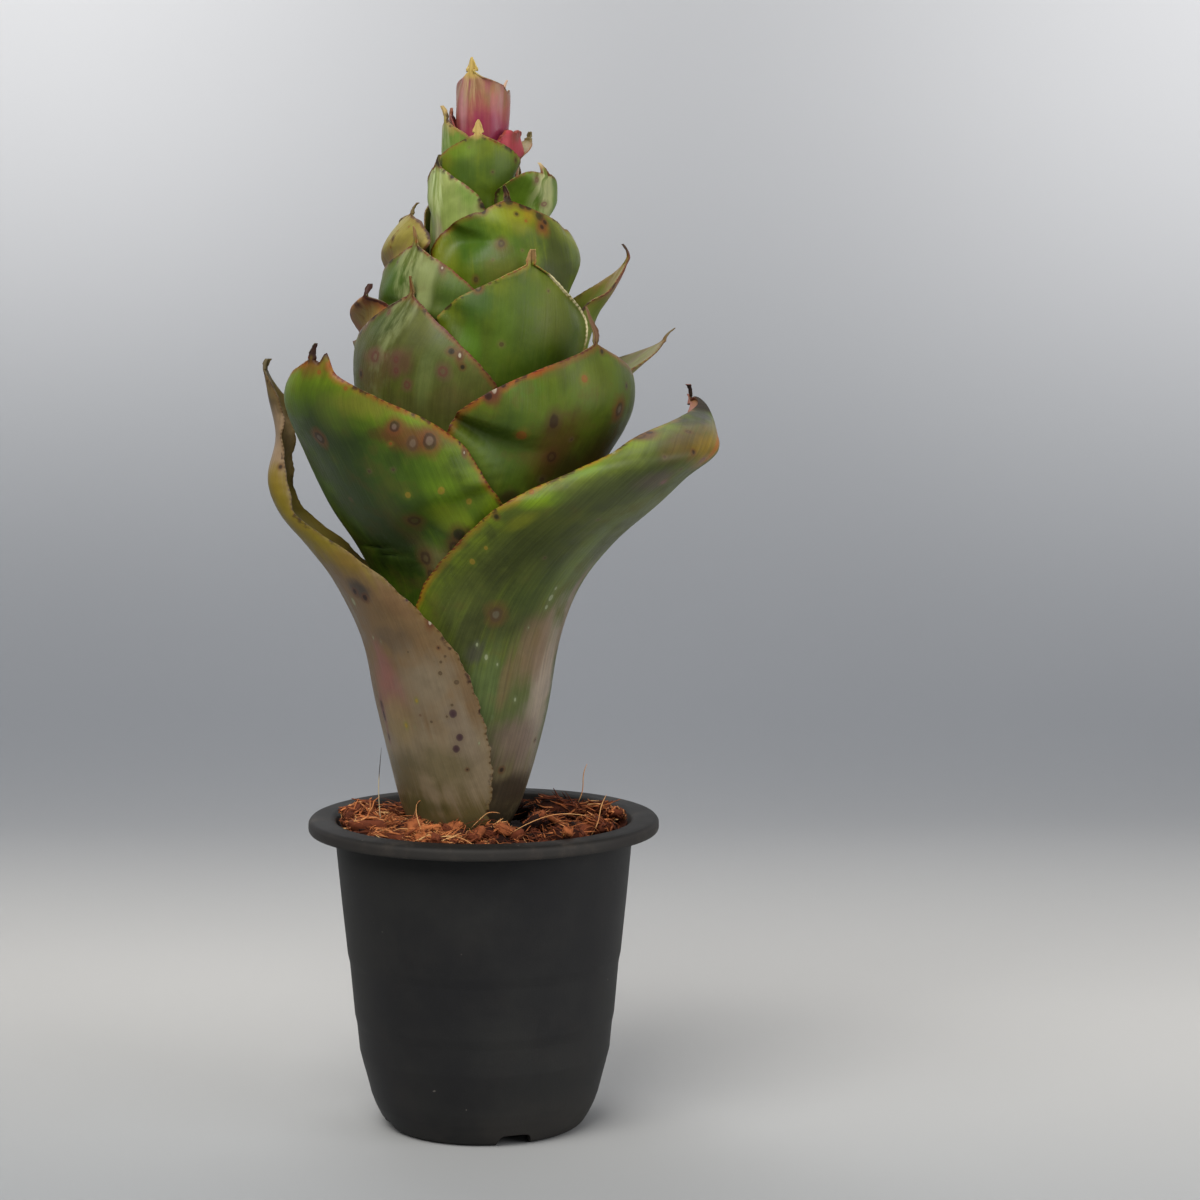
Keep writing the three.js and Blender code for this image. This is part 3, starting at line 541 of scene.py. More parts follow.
leafLooks = {
    "leaf_01_left_clasping": {
        "fresh": "#6e5a3a", "deep": "#5c4d36", "bright": "#7c6a38", "brightShare": 0.3, "glow": "#6a5228",
        "glowWide": 1.6, "edge": "#4c361c", "edgeWide": 0.32, "dry": "#2e2622", "dryLong": 5,
        "blotchShare": 0.12, "fanShare": 0, "inside": "#7a6c3a",
        "fades": (
            (228, 220, "#9a8266", 1.0), (212, 200, "#7c6c20", 1.0), (186, 172, "#786040", 1.0),
            (160, 146, "#775f42", 0.9), (140, 124, "#8a7a60", 1.0), (112, 100, "#665a34", 0.9),
        ),
    },
    "leaf_02_front_right": {
        "fresh": "#5a6428", "deep": "#485024", "bright": "#7c901a", "brightShare": 0.8, "brightWide": 12,
        "edge": "#5e2a14", "glow": "#a0701a", "glowWide": 2.4, "glowShare": 0.75, "dry": "#5a3c22",
        "dryLong": 3, "blotchShare": 0.2, "fanShare": 0, "grime": 0.9, "veinShare": 0.26,
        "inside": "#8a4a40", "dead": (29, 3.5),
        "fades": ((156, 132, "#5c6438", 0.7), (134, 112, "#75664c", 0.85)),
    },
    "leaf_03_front_left": {
        "fresh": "#4b6614", "deep": "#314410", "bright": "#748a14", "brightShare": 0.85, "brightWide": 15,
        "edge": "#5c2412", "glow": "#90481c", "glowWide": 2.6, "glowShare": 0.75, "dry": "#2c1a14",
        "dryLong": 5, "fanShare": 0, "veinShare": 0.16, "fades": ((158, 132, "#5f5a30", 0.7),),
    },
    "leaf_04_back_right": {"fades": ((150, 118, "#84755a", 0.9),)},
    "leaf_05_back_left": {"fades": ((150, 118, "#84755a", 0.9),)},
    "leaf_06_front_right": {
        "fresh": "#586a1a", "deep": "#465418", "bright": "#6a7616", "edge": "#4c1c14", "edgeWide": 0.5,
        "glow": "#943c18", "glowWide": 2.8, "glowShare": 0.85, "blotch": "#57381c", "blotchShare": 0.35,
        "dry": "#6a4c34", "dryLong": 11, "fanShare": 0, "veinShare": 0.08,
    },
    "leaf_07_right": {
        "fresh": "#787a2c", "deep": "#606c22", "bright": "#8a7a3c", "inside": "#7a7430",
        "glow": "#8a4a38", "glowWide": 2, "edge": "#5a2a20", "dry": "#4a3026", "dryLong": 4,
        "fanShare": 0.6, "fanLong": 50, "fanWide": 4, "fades": ((238, 245, "#7c5c50", 0.8),),
    },
    "leaf_09_front_left": {
        "fresh": "#5c6228", "deep": "#505424", "bright": "#6c7036", "edge": "#542418", "glow": "#7c4426",
        "glowWide": 2.2, "glowShare": 0.8, "paleRaysAndHighlight": "#929a68", "fanShare": 0.75, "fanLong": 64,
        "fanWide": 9, "rays": 1.6, "blotchShare": 0.35, "veinShare": 0.16, "dryLong": 4, "dry": "#6a4424",
    },
    "leaf_10_left_red": {
        "fresh": "#9a7e38", "deep": "#9a5c30", "bright": "#a08a44", "edge": "#38160f", "edgeWide": 0.9,
        "glow": "#86321f", "glowWide": 5, "glowShare": 0.9, "dry": "#3c2018", "dryLong": 5,
        "blotch": "#5a2018", "blotchShare": 0.7,
    },
    "leaf_11_front": {
        "fresh": "#506414", "deep": "#435612", "bright": "#6c7620", "edge": "#7a4a22", "edgeWide": 0.35,
        "glow": "#a0863c", "glowWide": 1.4, "paleRaysAndHighlight": "#a08a5c", "fanLong": 12, "dry": "#9a7c5c",
        "dryLong": 3.5, "blotchShare": 0.1, "veinShare": 0.07, "paleRim": (6, 244, 268, "#d6ccb4"),
        "warm": 0.9,
    },
    "leaf_12_right": {
        "fresh": "#6c7a26", "deep": "#566a20", "bright": "#8a8e3a", "inside": "#7a8030",
        "glow": "#8a4434", "glowWide": 2.4, "edge": "#5a2418", "dry": "#3a2a22", "dryLong": 3,
        "warm": 1.0, "fanShare": 0.5, "fanLong": 50, "fanWide": 4,
        "fades": ((258, 268, "#8a5c50", 0.85),),
    },
    "leaf_14_front_left": {
        "fresh": "#566626", "deep": "#48561c", "bright": "#727a36", "edge": "#663020", "glow": "#80502c",
        "glowWide": 1.8, "paleRaysAndHighlight": "#a8b078", "fanShare": 0.8, "fanLong": 60, "fanWide": 8, "rays": 1.8,
        "dry": "#8a6a42", "fades": ((236, 218, "#6c6440", 0.6),),
    },
    "leaf_15_left_yellow": {
        "fresh": "#9c7c4e", "deep": "#8a6c44", "bright": "#a8984a", "edge": "#4a2a18", "edgeWide": 0.7,
        "glow": "#7a5228", "glowWide": 2.6, "dry": "#5a3420", "dryLong": 4, "blotch": "#7a4a24",
        "blotchShare": 0.4, "fades": ((268, 280, "#8f8a34", 0.7),),
    },
    "leaf_16_front": {
        "fresh": "#5c6e18", "deep": "#485e0e", "bright": "#8c9020", "brightShare": 0.7, "edge": "#542014",
        "edgeWide": 0.5, "glow": "#8a4c1e", "glowWide": 2.2, "dry": "#2c1a14", "dryLong": 3,
        "fanShare": 0, "blotchShare": 0.2, "veinShare": 0.07, "warm": 1.0,
    },
    "leaf_18_left": {
        "fresh": "#98a85a", "deep": "#849648", "bright": "#a8ae6c", "edge": "#663420", "glow": "#84602c",
        "glowWide": 1.4, "paleRaysAndHighlight": "#ccd69c", "fanShare": 0.95, "fanLong": 44, "fanWide": 6,
        "dry": "#34241c", "dryLong": 2.5, "blotchShare": 0.1, "fades": ((276, 258, "#b0a08c", 0.85),),
    },
    "leaf_19_right": {
        "fresh": "#66822c", "deep": "#527420", "bright": "#808c3a", "edge": "#6a3a2a", "glow": "#7c5a2c",
        "glowWide": 1.6, "paleRaysAndHighlight": "#cfd0aa", "fanShare": 0.95, "fanLong": 24, "fanWide": 5, "rays": 2,
        "dry": "#b8a488", "dryLong": 1.5, "warm": 0.9, "fades": ((284, 266, "#a8927c", 0.7),),
    },
    "leaf_21_front": {
        "fresh": "#5a6e14", "deep": "#465a0e", "bright": "#7c8620", "edge": "#6a3620", "glow": "#84602a",
        "glowWide": 1.8, "paleRaysAndHighlight": "#b0b458", "fanLong": 12, "fanWide": 2.5, "dry": "#b49a62",
        "dryLong": 5.5, "veinShare": 0.08, "warm": 0.7,
    },
    "leaf_22_left": {
        "fresh": "#7c9444", "deep": "#648434", "paleRaysAndHighlight": "#c8d09c", "fanShare": 0.9, "fanLong": 20,
        "dry": "#a48c58", "edge": "#8a6a3a", "glowWide": 1.4, "fades": ((308, 314, "#b09454", 0.7),),
    },
    "leaf_23_right": {
        "fresh": "#a8a070", "deep": "#90885c", "bright": "#b8a078", "edge": "#8a5a42", "dry": "#6a5640",
        "paleRaysAndHighlight": "#c4b08c", "fanShare": 0.6, "fanLong": 14, "glowWide": 1.4,
        "fades": ((302, 309, "#b0886c", 0.8),),
    },
    "bract_24_right": {
        "fresh": "#b43c4c", "deep": "#9c3040", "bright": "#c05450", "edge": "#7a3424", "fanShare": 0,
        "glow": "#a0504a", "glowWide": 1.4, "dry": "#7a3a30", "blotchShare": 0.1, "inside": "#b04a54",
    },
    "bract_25_left": {
        "fresh": "#a85848", "deep": "#96443f", "bright": "#b4744c", "edge": "#6a3024", "fanShare": 0,
        "glow": "#9a5c38", "glowWide": 1.6, "dry": "#7a4a34", "blotchShare": 0.1, "inside": "#a84a50",
    },
    "leaf_26_rolled_top": {
        "fresh": "#985462", "deep": "#8c4648", "bright": "#a8705c", "brightShare": 0.2, "edge": "#5e3622",
        "edgeWide": 0.3, "glow": "#84583a", "glowWide": 1.2, "paleRaysAndHighlight": "#d0b480", "fanShare": 0.95,
        "fanLong": 21, "fanWide": 5, "rays": 5.2, "dry": "#b49a50", "dryLong": 6, "blotchShare": 0.06,
        "gloss": 0.3,
        "fades": ((329, 322, "#96744a", 0.9), (325, 318, "#a25a50", 1.0), (319, 309, "#94304c", 1.0)),
    },
    "leaf_27_inner_roll": {
        "fresh": "#b07864", "deep": "#9a6450", "bright": "#b88a6a", "paleRaysAndHighlight": "#c0a070", "fanShare": 0.8,
        "edge": "#7a4a30", "dry": "#c0a088", "dryLong": 3,
    },
}

# Forms of the leaves. A pull is a place on the leaf, its spread, and how far it draws out, sideways and up.

leafForms = {
    "leaf_01_left_clasping": {"ragged": 0.3, "wave": 0.8},
    "leaf_02_front_right": {"wave": 0.8, "wavePitch": 34, "spikeWide": 0.6, "pulls": (
        ((-36, 192), 14, 1.0, 0, 1.0), ((10, 214), 7, 1.6, 0, 0), ((4, 228), 2.2, -1.0, 0, -1.5),
    )},
    "leaf_03_front_left": {"wave": 0.9, "wavePitch": 31, "spikeWide": 1.3, "pulls": (
        ((6.5, 240), 1.8, 0, 0, 4.5),
    )},
    "leaf_06_front_right": {"wave": 0.5, "spikeWide": 1.5, "spikeSway": 0.5, "soft": 90, "hug": 1.4,
        "pulls": (
            ((-24, 232), 10, -3.4, 0, 0), ((-20, 223), 5, 0.7, 0, 0), ((38, 224), 8, 1.0, 0.6, 0),
        )},
    "leaf_07_right": {"spikeWide": 0.8},
    "leaf_09_front_left": {"pleat": 0.5, "pleatLong": 46, "pulls": (
        ((-30, 246), 1.4, 1.2, -0.6, 0.8), ((-33, 241), 1.2, 1.0, 0.4, -0.6),
        ((18, 243), 2.2, -0.2, -1.0, -1.0),
    )},
    "leaf_10_left_red": {"ragged": 0.35, "wave": 0.8, "wavePitch": 12, "spikeWide": 0.7, "pulls": (
        ((-18, 244), 6, 1.6, 0, -1.2),
    )},
    "leaf_11_front": {"roll": 1.4, "rollSide": 1, "spikeWide": 1.2, "pulls": (
        ((21, 262), 9, 0.4, -4.2, -0.6),
    )},
    "leaf_12_right": {"spikeWide": 0.8},
    "leaf_14_front_left": {"pleat": 0.5, "pleatLong": 44, "spikeWide": 0.9},
    "leaf_15_left_yellow": {"ragged": 0.35, "wave": 0.8, "wavePitch": 11, "spikeWide": 0.7},
    "leaf_16_front": {"soft": 90, "hug": 1.4, "pulls": (
        ((-16, 285), 8, -2.0, 0, 0), ((22, 281), 2.0, 0.3, 0, -1.4), ((-14, 287), 1.6, 0, 0, -0.8),
    )},
    "leaf_18_left": {"pleat": 0.35, "spikeWide": 0.9, "pulls": (((-12, 272), 9, 0, -1.6, 0),)},
    "leaf_19_right": {"pleat": 0.4, "ragged": 0.25, "pulls": (
        ((13, 285), 8, 1.4, 3.4, 0), ((12, 277), 7, 1.2, 2.4, 0), ((10, 298), 3, 0.4, 1.2, -0.6),
        ((-6, 293), 4.5, 0, 0.4, 2.2), ((0, 299), 2.6, 0, 2.6, -1.6), ((8, 293), 3, 0.3, 1.4, 1.2),
    )},
    "leaf_21_front": {"spikeWide": 1.7},
    "leaf_22_left": {"spikeWide": 0.7, "ragged": 0.25},
    "leaf_23_right": {"spikeWide": 0.6, "ragged": 0.3, "pulls": (((0, 306), 7, 1.8, 0, 0),)},
    "bract_24_right": {"ragged": 0.5, "wave": 0.9, "wavePitch": 6, "pulls": (
        ((5, 306), 3, 1.4, 1.4, -0.5), ((0, 314), 2.6, 0, 0.8, -3.6), ((4, 307), 2.4, 0.4, 1.0, -1.4),
    )},
    "leaf_26_rolled_top": {"pleat": 0.4, "pleatLong": 22, "spikeWide": 2.4, "ragged": 0.35, "pulls": (
        ((13, 324), 1.2, 0, 0, -1.6), ((-3.5, 328), 1.6, 0, 0, 0.8), ((3.5, 328), 2.0, 0, 0, 1.0),
    )},
    "leaf_27_inner_roll": {"spikeWide": 0.6},
}

# Soft patches: distance from the midrib, height, half width, half height, colour and share

leafPatches = {
    "leaf_01_left_clasping": (
        (21, 181, 7, 3.5, "#80672a", 0.7), (30.5, 169, 8.5, 5.5, "#7a5d3e", 0.65),
        (22, 157, 9.5, 5.5, "#5e5040", 0.5), (17.5, 171.5, 4.5, 3.5, "#3f3a36", 0.85),
        (13, 142, 7.5, 11.5, "#925c58", 0.6), (13, 150, 4, 8.5, "#885850", 0.55),
        (17, 141, 3.5, 4, "#8a5e56", 0.4), (29.5, 143.5, 11.5, 12, "#8c7f68", 0.7),
        (35, 129, 4.5, 11.5, "#897a66", 0.65), (13.5, 131, 7.5, 8, "#8c7850", 0.75),
        (9, 114, 11, 7, "#5e5434", 0.75), (25.5, 117.5, 9.5, 8, "#6c6242", 0.7),
        (14, 104, 12.5, 3, "#524e2c", 0.75), (5, 164.5, 2, 8, "#8a8474", 0.5),
        (2.5, 222, 2.5, 5.5, "#8f7b60", 0.6), (8, 204, 4.5, 5.5, "#8a7424", 0.7),
    ),
    "leaf_02_front_right": (
        (-39.5, 201.5, 6, 3, "#78961a", 0.9), (-39, 210, 8, 3, "#70901c", 0.85),
        (-39, 194.5, 4, 3.5, "#868c24", 0.8), (-25.5, 204.5, 14.5, 7, "#525a32", 0.65),
        (-24, 186, 12, 7.5, "#46501f", 0.6), (-7, 181.5, 4.5, 18, "#6f8040", 0.55),
        (-23, 161.5, 12, 7.5, "#464a22", 0.5), (-9.5, 207, 8, 3.5, "#62504c", 0.55),
        (-9.5, 217.5, 11, 6, "#64502a", 0.8), (1.5, 216, 10.5, 6.5, "#96781e", 0.7),
        (4.5, 216.5, 2.5, 6, "#b06c1a", 0.9), (-10.5, 225, 10.5, 2.5, "#1c120e", 0.8),
        (7, 172, 2.5, 9.5, "#8c7768", 0.8), (2, 139.5, 8, 26, "#ab9a88", 0.9),
        (-6, 152.5, 8.5, 12.5, "#8c7256", 0.75), (-20.5, 141.5, 7, 15.5, "#5c6c3a", 0.8),
        (-14, 144.5, 2.5, 10, "#786242", 0.65), (-25.5, 152.5, 3, 4, "#4c4a3c", 0.75),
        (-5, 124.5, 10.5, 9, "#7e6a5c", 0.8), (-1.5, 108.5, 11.5, 5.5, "#3c3228", 0.85),
        (10.5, 159, 4, 11.5, "#8a755f", 0.8), (-25.5, 219.5, 5, 1.5, "#6a3a26", 0.8),
        (-16, 172.5, 9, 9.5, "#45561f", 0.5),
    ),
    "leaf_03_front_left": (
        # painted shadow: the large dark green patch by the midrib (#2b3916)
        (7, 194.5, 14.5, 25, "#2b3916", 0.8), (6.5, 209.5, 13.5, 15.5, "#364a1a", 0.6),
        (11, 227, 6.5, 7, "#62702a", 0.5), (25, 230.5, 13.5, 5, "#7c7c28", 0.75),
        (34, 220, 11.5, 4.5, "#6c361f", 0.7), (35, 201, 7, 9, "#6b8a18", 0.8),
        (32.5, 194.5, 7.5, 5.5, "#84981e", 0.8), (2.5, 242, 8, 5, "#7c4c20", 0.7),
        (16, 191.5, 4.5, 11, "#5a4322", 0.5), (20, 181.5, 7, 7, "#857c48", 0.75),
        (20, 201, 8.5, 15, "#4c6420", 0.5),
    ),
    "leaf_06_front_right": (
        (-28.5, 218, 11.5, 11.5, "#486020", 0.6), (-1.5, 236, 9, 6.5, "#606a16", 0.6),
        (-27, 234.5, 7.5, 3, "#4e7420", 0.7), (-11.5, 216.5, 9.5, 12.5, "#5a401e", 0.75),
        (-20.5, 206.5, 4.5, 11.5, "#4c661c", 0.5), (11.5, 220, 9.5, 9, "#3c481a", 0.6),
        # painted highlight: the pale grey-green patch along the right margin (#8a9a78)
        (28.5, 221.5, 2, 6, "#8a9a78", 0.85), (-20.5, 201.5, 4, 2.5, "#3a241a", 0.7),
        (-37, 232.5, 3, 4, "#70301e", 0.75), (-2.5, 209, 5.5, 7, "#46501e", 0.6),
        (-19, 239.5, 5.5, 3, "#5a5a24", 0.6),
    ),
    "leaf_09_front_left": (
        (-5.5, 254, 9, 5.5, "#44562a", 0.6), (-1.5, 243, 6.5, 2.5, "#70463a", 0.7),
        (8, 241, 6.5, 5, "#70463e", 0.55), (14, 228, 12.5, 5, "#54502c", 0.5),
        (19, 238, 3.5, 11.5, "#6d7840", 0.7), (28, 230.5, 6.5, 6, "#5a4e26", 0.5),
        (-2, 236.5, 8, 8, "#6c5c36", 0.6), (20.5, 246.5, 6.5, 7, "#4e5a28", 0.5),
        (25, 226.5, 7, 5.5, "#565828", 0.6),
    ),
    "leaf_11_front": (
        (-15.5, 259.5, 6.5, 6, "#38561a", 0.85), (11, 256.5, 9.5, 11.5, "#66702c", 0.7),
        (-17, 245.5, 4, 8.5, "#53781c", 0.7), (4, 240, 9.5, 5.5, "#40581c", 0.6),
        (-7, 251, 4, 11.5, "#567024", 0.5), (-2.5, 262.5, 5, 5, "#4d6226", 0.5),
    ),
    "leaf_14_front_left": (
        (-5.5, 263.5, 7, 9.5, "#4b6a22", 0.7), (18.5, 260.5, 6, 10, "#4c6620", 0.7),
        # painted highlight: the tall pale streak (#98a266)
        (7.5, 263, 4, 15.5, "#98a266", 0.75),
    ),
    "leaf_16_front": (
        (2, 284.5, 6, 5, "#88881e", 0.6), (6, 285.5, 2.5, 3, "#987a20", 0.6),
        (-5.5, 282, 4.5, 7, "#84941e", 0.7), (-15, 278, 13, 9.5, "#3f621a", 0.75),
        # painted shade: the dark green patch on the right part (#40461f)
        (-25, 270.5, 5, 6, "#7e8c30", 0.5), (14.5, 269, 9.5, 16.5, "#40461f", 0.8),
        (10, 281.5, 3, 3.5, "#84421e", 0.6), (-5, 268.5, 8, 5.5, "#62622a", 0.5),
        (-5, 275.5, 3.5, 2.5, "#5a5226", 0.5),
    ),
    "leaf_18_left": (
        (13, 292.5, 4.5, 6, "#648a2a", 0.5), (1, 278.5, 2.5, 7, "#b09c88", 0.8),
        (-1.5, 295.5, 3, 5.5, "#6a8430", 0.6),
    ),
    "leaf_19_right": (
        (-5.5, 293, 4, 8, "#5c7a20", 0.7), (2.5, 291, 3, 10, "#bcc094", 0.7),
    ),
    "leaf_21_front": (
        (-5.5, 304.5, 6, 3, "#708e28", 0.6), (7.5, 299.5, 8, 6, "#4c6224", 0.7),
        (-4.5, 299, 5.5, 4.5, "#3e5a1c", 0.6),
    ),
    "leaf_26_rolled_top": (
        # painted highlight: the narrow pale pink glossy streak on the left (#d29aa0)
        (-2.5, 317.5, 2, 8.5, "#d29aa0", 0.55), (5, 313.5, 7, 4.5, "#96304e", 0.5),
        (10, 320, 1, 7.5, "#b87880", 0.4),
    ),
}

# Marks: distance from the midrib, height, radius and kind

leafSpots = {
    "leaf_01_left_clasping": (
        (34.5, 127, 1.2, "purple"), (32.5, 123.5, 1.2, "purple"), (34.5, 134.5, 1.4, "purple"),
        (35, 137.5, 0.6, "speck"), (37, 155, 0.4, "dark"), (36, 151, 0.6, "speck"),
        (38, 152.5, 0.5, "speck"), (34, 151, 0.4, "speck"), (34.5, 147.5, 0.8, "speck"),
        (38.5, 144.5, 0.8, "speck"), (24, 138.5, 0.6, "yellow"), (17, 130, 0.7, "yellow"),
        (23.5, 133.5, 0.4, "dark"), (27, 132, 0.6, "speck"), (32.5, 133.5, 0.6, "speck"),
        (5.5, 134.5, 1.1, "slit"), (6, 132, 0.9, "slit"), (5.5, 125.5, 0.7, "slit"),
        (37.5, 163, 1.1, "white"), (33.5, 169.5, 0.5, "purple"), (9.5, 208, 0.8, "dark"),
        (10.5, 168, 0.9, "pale"), (12.5, 157, 0.5, "pale"), (16, 156, 0.4, "pale"),
        (15, 171.5, 1.1, "dark"), (18.5, 169.5, 1.1, "dark"), (20.5, 130, 0.4, "pale"),
        (26, 153.5, 0.5, "speck"), (33.5, 116.5, 0.6, "dark"), (39.5, 125.5, 0.4, "pale"),
    ),
    "leaf_02_front_right": (
        (-41, 186.5, 0.8, "yellow"), (-41.5, 182, 1, "yellow"), (-48.5, 196, 0.8, "dark"),
        (-45.5, 203.5, 0.9, "orange"), (-23.5, 165, 2.2, "soft"), (-6, 206.5, 1.2, "pink"),
        (-7.5, 215, 0.8, "dark"), (-17, 214, 0.7, "speck"), (-12.5, 220, 0.9, "brown"),
        (1.5, 212, 1.6, "pink"), (-27.5, 219.5, 1.9, "brown"), (-25, 220, 1.2, "dark"),
        (-7, 169.5, 0.8, "pale"), (-7, 172.5, 0.5, "pale"), (-6.5, 166.5, 0.6, "pale"),
        (-11, 160.5, 0.5, "pale"), (-9.5, 138, 0.5, "pale"), (-34, 215, 0.7, "pale"),
        (5, 123.5, 0.6, "dark"), (-26, 156, 0.6, "pale"), (-22, 152, 0.6, "pale"),
        (-16, 133, 0.4, "pale"), (-18, 149.5, 0.5, "pale"), (-7.5, 115.5, 0.8, "dark"),
        (-20, 182.5, 0.6, "speck"), (-16, 195, 0.6, "speck"), (-5.5, 210, 0.6, "speck"),
    ),
    "leaf_03_front_left": (
        (2, 219.5, 1.9, "ring"), (29.5, 223, 1.6, "ring"), (32.5, 218, 1.9, "soft"),
        (37.5, 219, 2.2, "ring"), (24, 202.5, 0.9, "yellow"), (34.5, 204, 1.1, "yellow"),
        (41, 200.5, 0.9, "yellow"), (20.5, 194.5, 2.2, "brown"), (15.5, 182, 1.9, "brown"),
        (32, 190, 2.2, "dark"), (28.5, 186, 1.6, "brown"), (46.5, 215, 0.7, "white"),
        (6, 238.5, 0.9, "orange"), (26, 218, 0.8, "orange"), (36.5, 226.5, 0.6, "speck"),
        (15.5, 177.5, 1.2, "brown"), (15, 209.5, 0.6, "speck"), (2.5, 200.5, 0.6, "speck"),
        (16, 234.5, 0.8, "orange"), (23, 210.5, 0.8, "speck"),
    ),
    "leaf_06_front_right": (
        (-36, 234, 1.6, "white"), (-38, 232, 1.2, "dark"), (-33, 235, 0.9, "dark"),
        (-6.5, 236.5, 1.1, "orange"), (-16, 224, 1.6, "streak"), (-24.5, 220, 1.6, "orange"),
        (11, 227, 2.2, "ring"), (30.5, 227.5, 1.2, "dark"), (-11.5, 213.5, 1.6, "brown"),
        (2, 244.5, 0.8, "dark"), (15, 234, 0.8, "dark"), (-7, 218.5, 0.6, "speck"),
        (-11.5, 206.5, 0.9, "speck"),
    ),
    "leaf_07_right": (
        (-2, 244.5, 0.6, "brown"),
    ),
    "leaf_09_front_left": (
        (-1.5, 243, 1.9, "mauve"), (8, 242, 1.2, "mauve"), (8.5, 239, 1.1, "mauve"),
        (-15, 252.5, 1.2, "white"), (-18, 249.5, 1.1, "dark"), (-12, 254.5, 0.9, "dark"),
        (27.5, 243.5, 1, "white"), (24.5, 244.5, 0.9, "dark"), (24, 239, 1.6, "mauve"),
        (-5, 256, 0.9, "mauve"), (13.5, 234.5, 1.2, "mauve"), (-9, 237.5, 1.2, "dark"),
        (29.5, 240, 0.8, "dark"),
    ),
    "leaf_10_left_red": (
        (0, 261.5, 0.7, "dark"), (-4, 258.5, 0.8, "dark"), (-2.5, 258.5, 0.6, "ring"),
        (-9.5, 255, 0.7, "dark"), (-0.5, 263, 0.6, "dark"),
    ),
    "leaf_11_front": (
        (-15.5, 263.5, 1.1, "ring"), (-12.5, 265, 0.6, "speck"), (7.5, 262.5, 0.6, "speck"),
        (-7, 247, 0.8, "speck"),
    ),
    "leaf_12_right": (
        (4, 266.5, 0.6, "speck"), (0.5, 270.5, 0.7, "brown"),
    ),
    "leaf_14_front_left": (
        (12, 269, 0.8, "white"), (0.5, 277.5, 0.9, "orange"), (-5.5, 271, 0.6, "speck"),
    ),
    "leaf_15_left_yellow": (
        (7, 281.5, 0.6, "orange"), (12.5, 279.5, 0.6, "orange"), (3.5, 280.5, 0.5, "orange"),
        (-2, 284, 0.5, "orange"), (4.5, 278, 0.6, "brown"), (8, 283, 0.6, "brown"),
        (5, 275.5, 0.5, "orange"),
    ),
    "leaf_16_front": (
        (0.5, 289.5, 1.6, "dark"), (1.5, 285.5, 0.6, "dark"), (4.5, 283.5, 0.7, "orange"),
        (-4.5, 276.5, 1.2, "brown"), (4.5, 288, 1.2, "dark"), (7.5, 287, 1.2, "dark"),
        (10, 284.5, 1.4, "dark"), (10, 281.5, 0.9, "dark"), (-8, 286, 0.9, "dark"),
        (-12.5, 285.5, 0.7, "brown"), (-3, 288, 0.6, "dark"), (11.5, 283, 0.9, "dark"),
        (-14.5, 266, 0.8, "brown"), (1.5, 274.5, 0.5, "speck"), (-8.5, 272, 0.5, "speck"),
    ),
    "leaf_18_left": (
        (6.5, 297, 0.8, "dark"), (16.5, 288, 0.9, "dark"), (1, 301, 1.2, "dark"),
        (-1.5, 298.5, 0.5, "speck"),
    ),
    "leaf_19_right": (
        (-3, 296, 1.1, "mauve"), (1, 288.5, 1.2, "pink"), (-4, 298, 0.6, "dark"),
    ),
    "leaf_21_front": (
        (12.5, 302, 0.6, "brown"), (15, 300.5, 0.6, "brown"), (-2.5, 305.5, 0.4, "speck"),
        (4.5, 298.5, 0.6, "speck"),
    ),
}

# Kinds of mark: middle, ring and halo colours, shares of the middle and the halo, and height against width

spotKinds = {
    "ring": ("#62504a", "#3a241b", "#64381e", 0.7, 0.7, 1.15),
    "soft": ("#66584c", "#4c3826", "#5c3c22", 0.6, 0.5, 1.3),
    "dark": ("#22130f", "#22130f", "#54301c", 0.9, 0.6, 1.0),
    "streak": ("#33201a", "#33201a", "#4a3820", 0.8, 0.6, 1.8),
    "slit": ("#20140f", "#20140f", "#6a4040", 0.9, 0.6, 2.6),
    "brown": ("#4a3424", "#3c2618", "#54381e", 0.6, 0.6, 1.3),
    "orange": ("#8a4c1a", "#7c4a1c", "#6e601e", 0.6, 0.45, 1.0),
    "yellow": ("#9a7c24", "#8a7426", "#64701e", 0.5, 0.3, 1.3),
    "white": ("#a09684", "#54301f", "#5c3a20", 0.8, 0.7, 1.7),
    "mauve": ("#5e3c3a", "#5c382f", "#5e4436", 0.55, 0.5, 1.1),
    "purple": ("#38222a", "#38222a", "#6a5a48", 0.9, 0.4, 1.2),
    "pink": ("#7c5452", "#70484a", "#6c5840", 0.5, 0.4, 0.7),
    "pale": ("#949a80", "#868c6c", "#6c7454", 0.45, 0.2, 1.8),
    "speck": ("#4a3a28", "#4a3a28", "#6a5a40", 0.6, 0.3, 1.0),
}


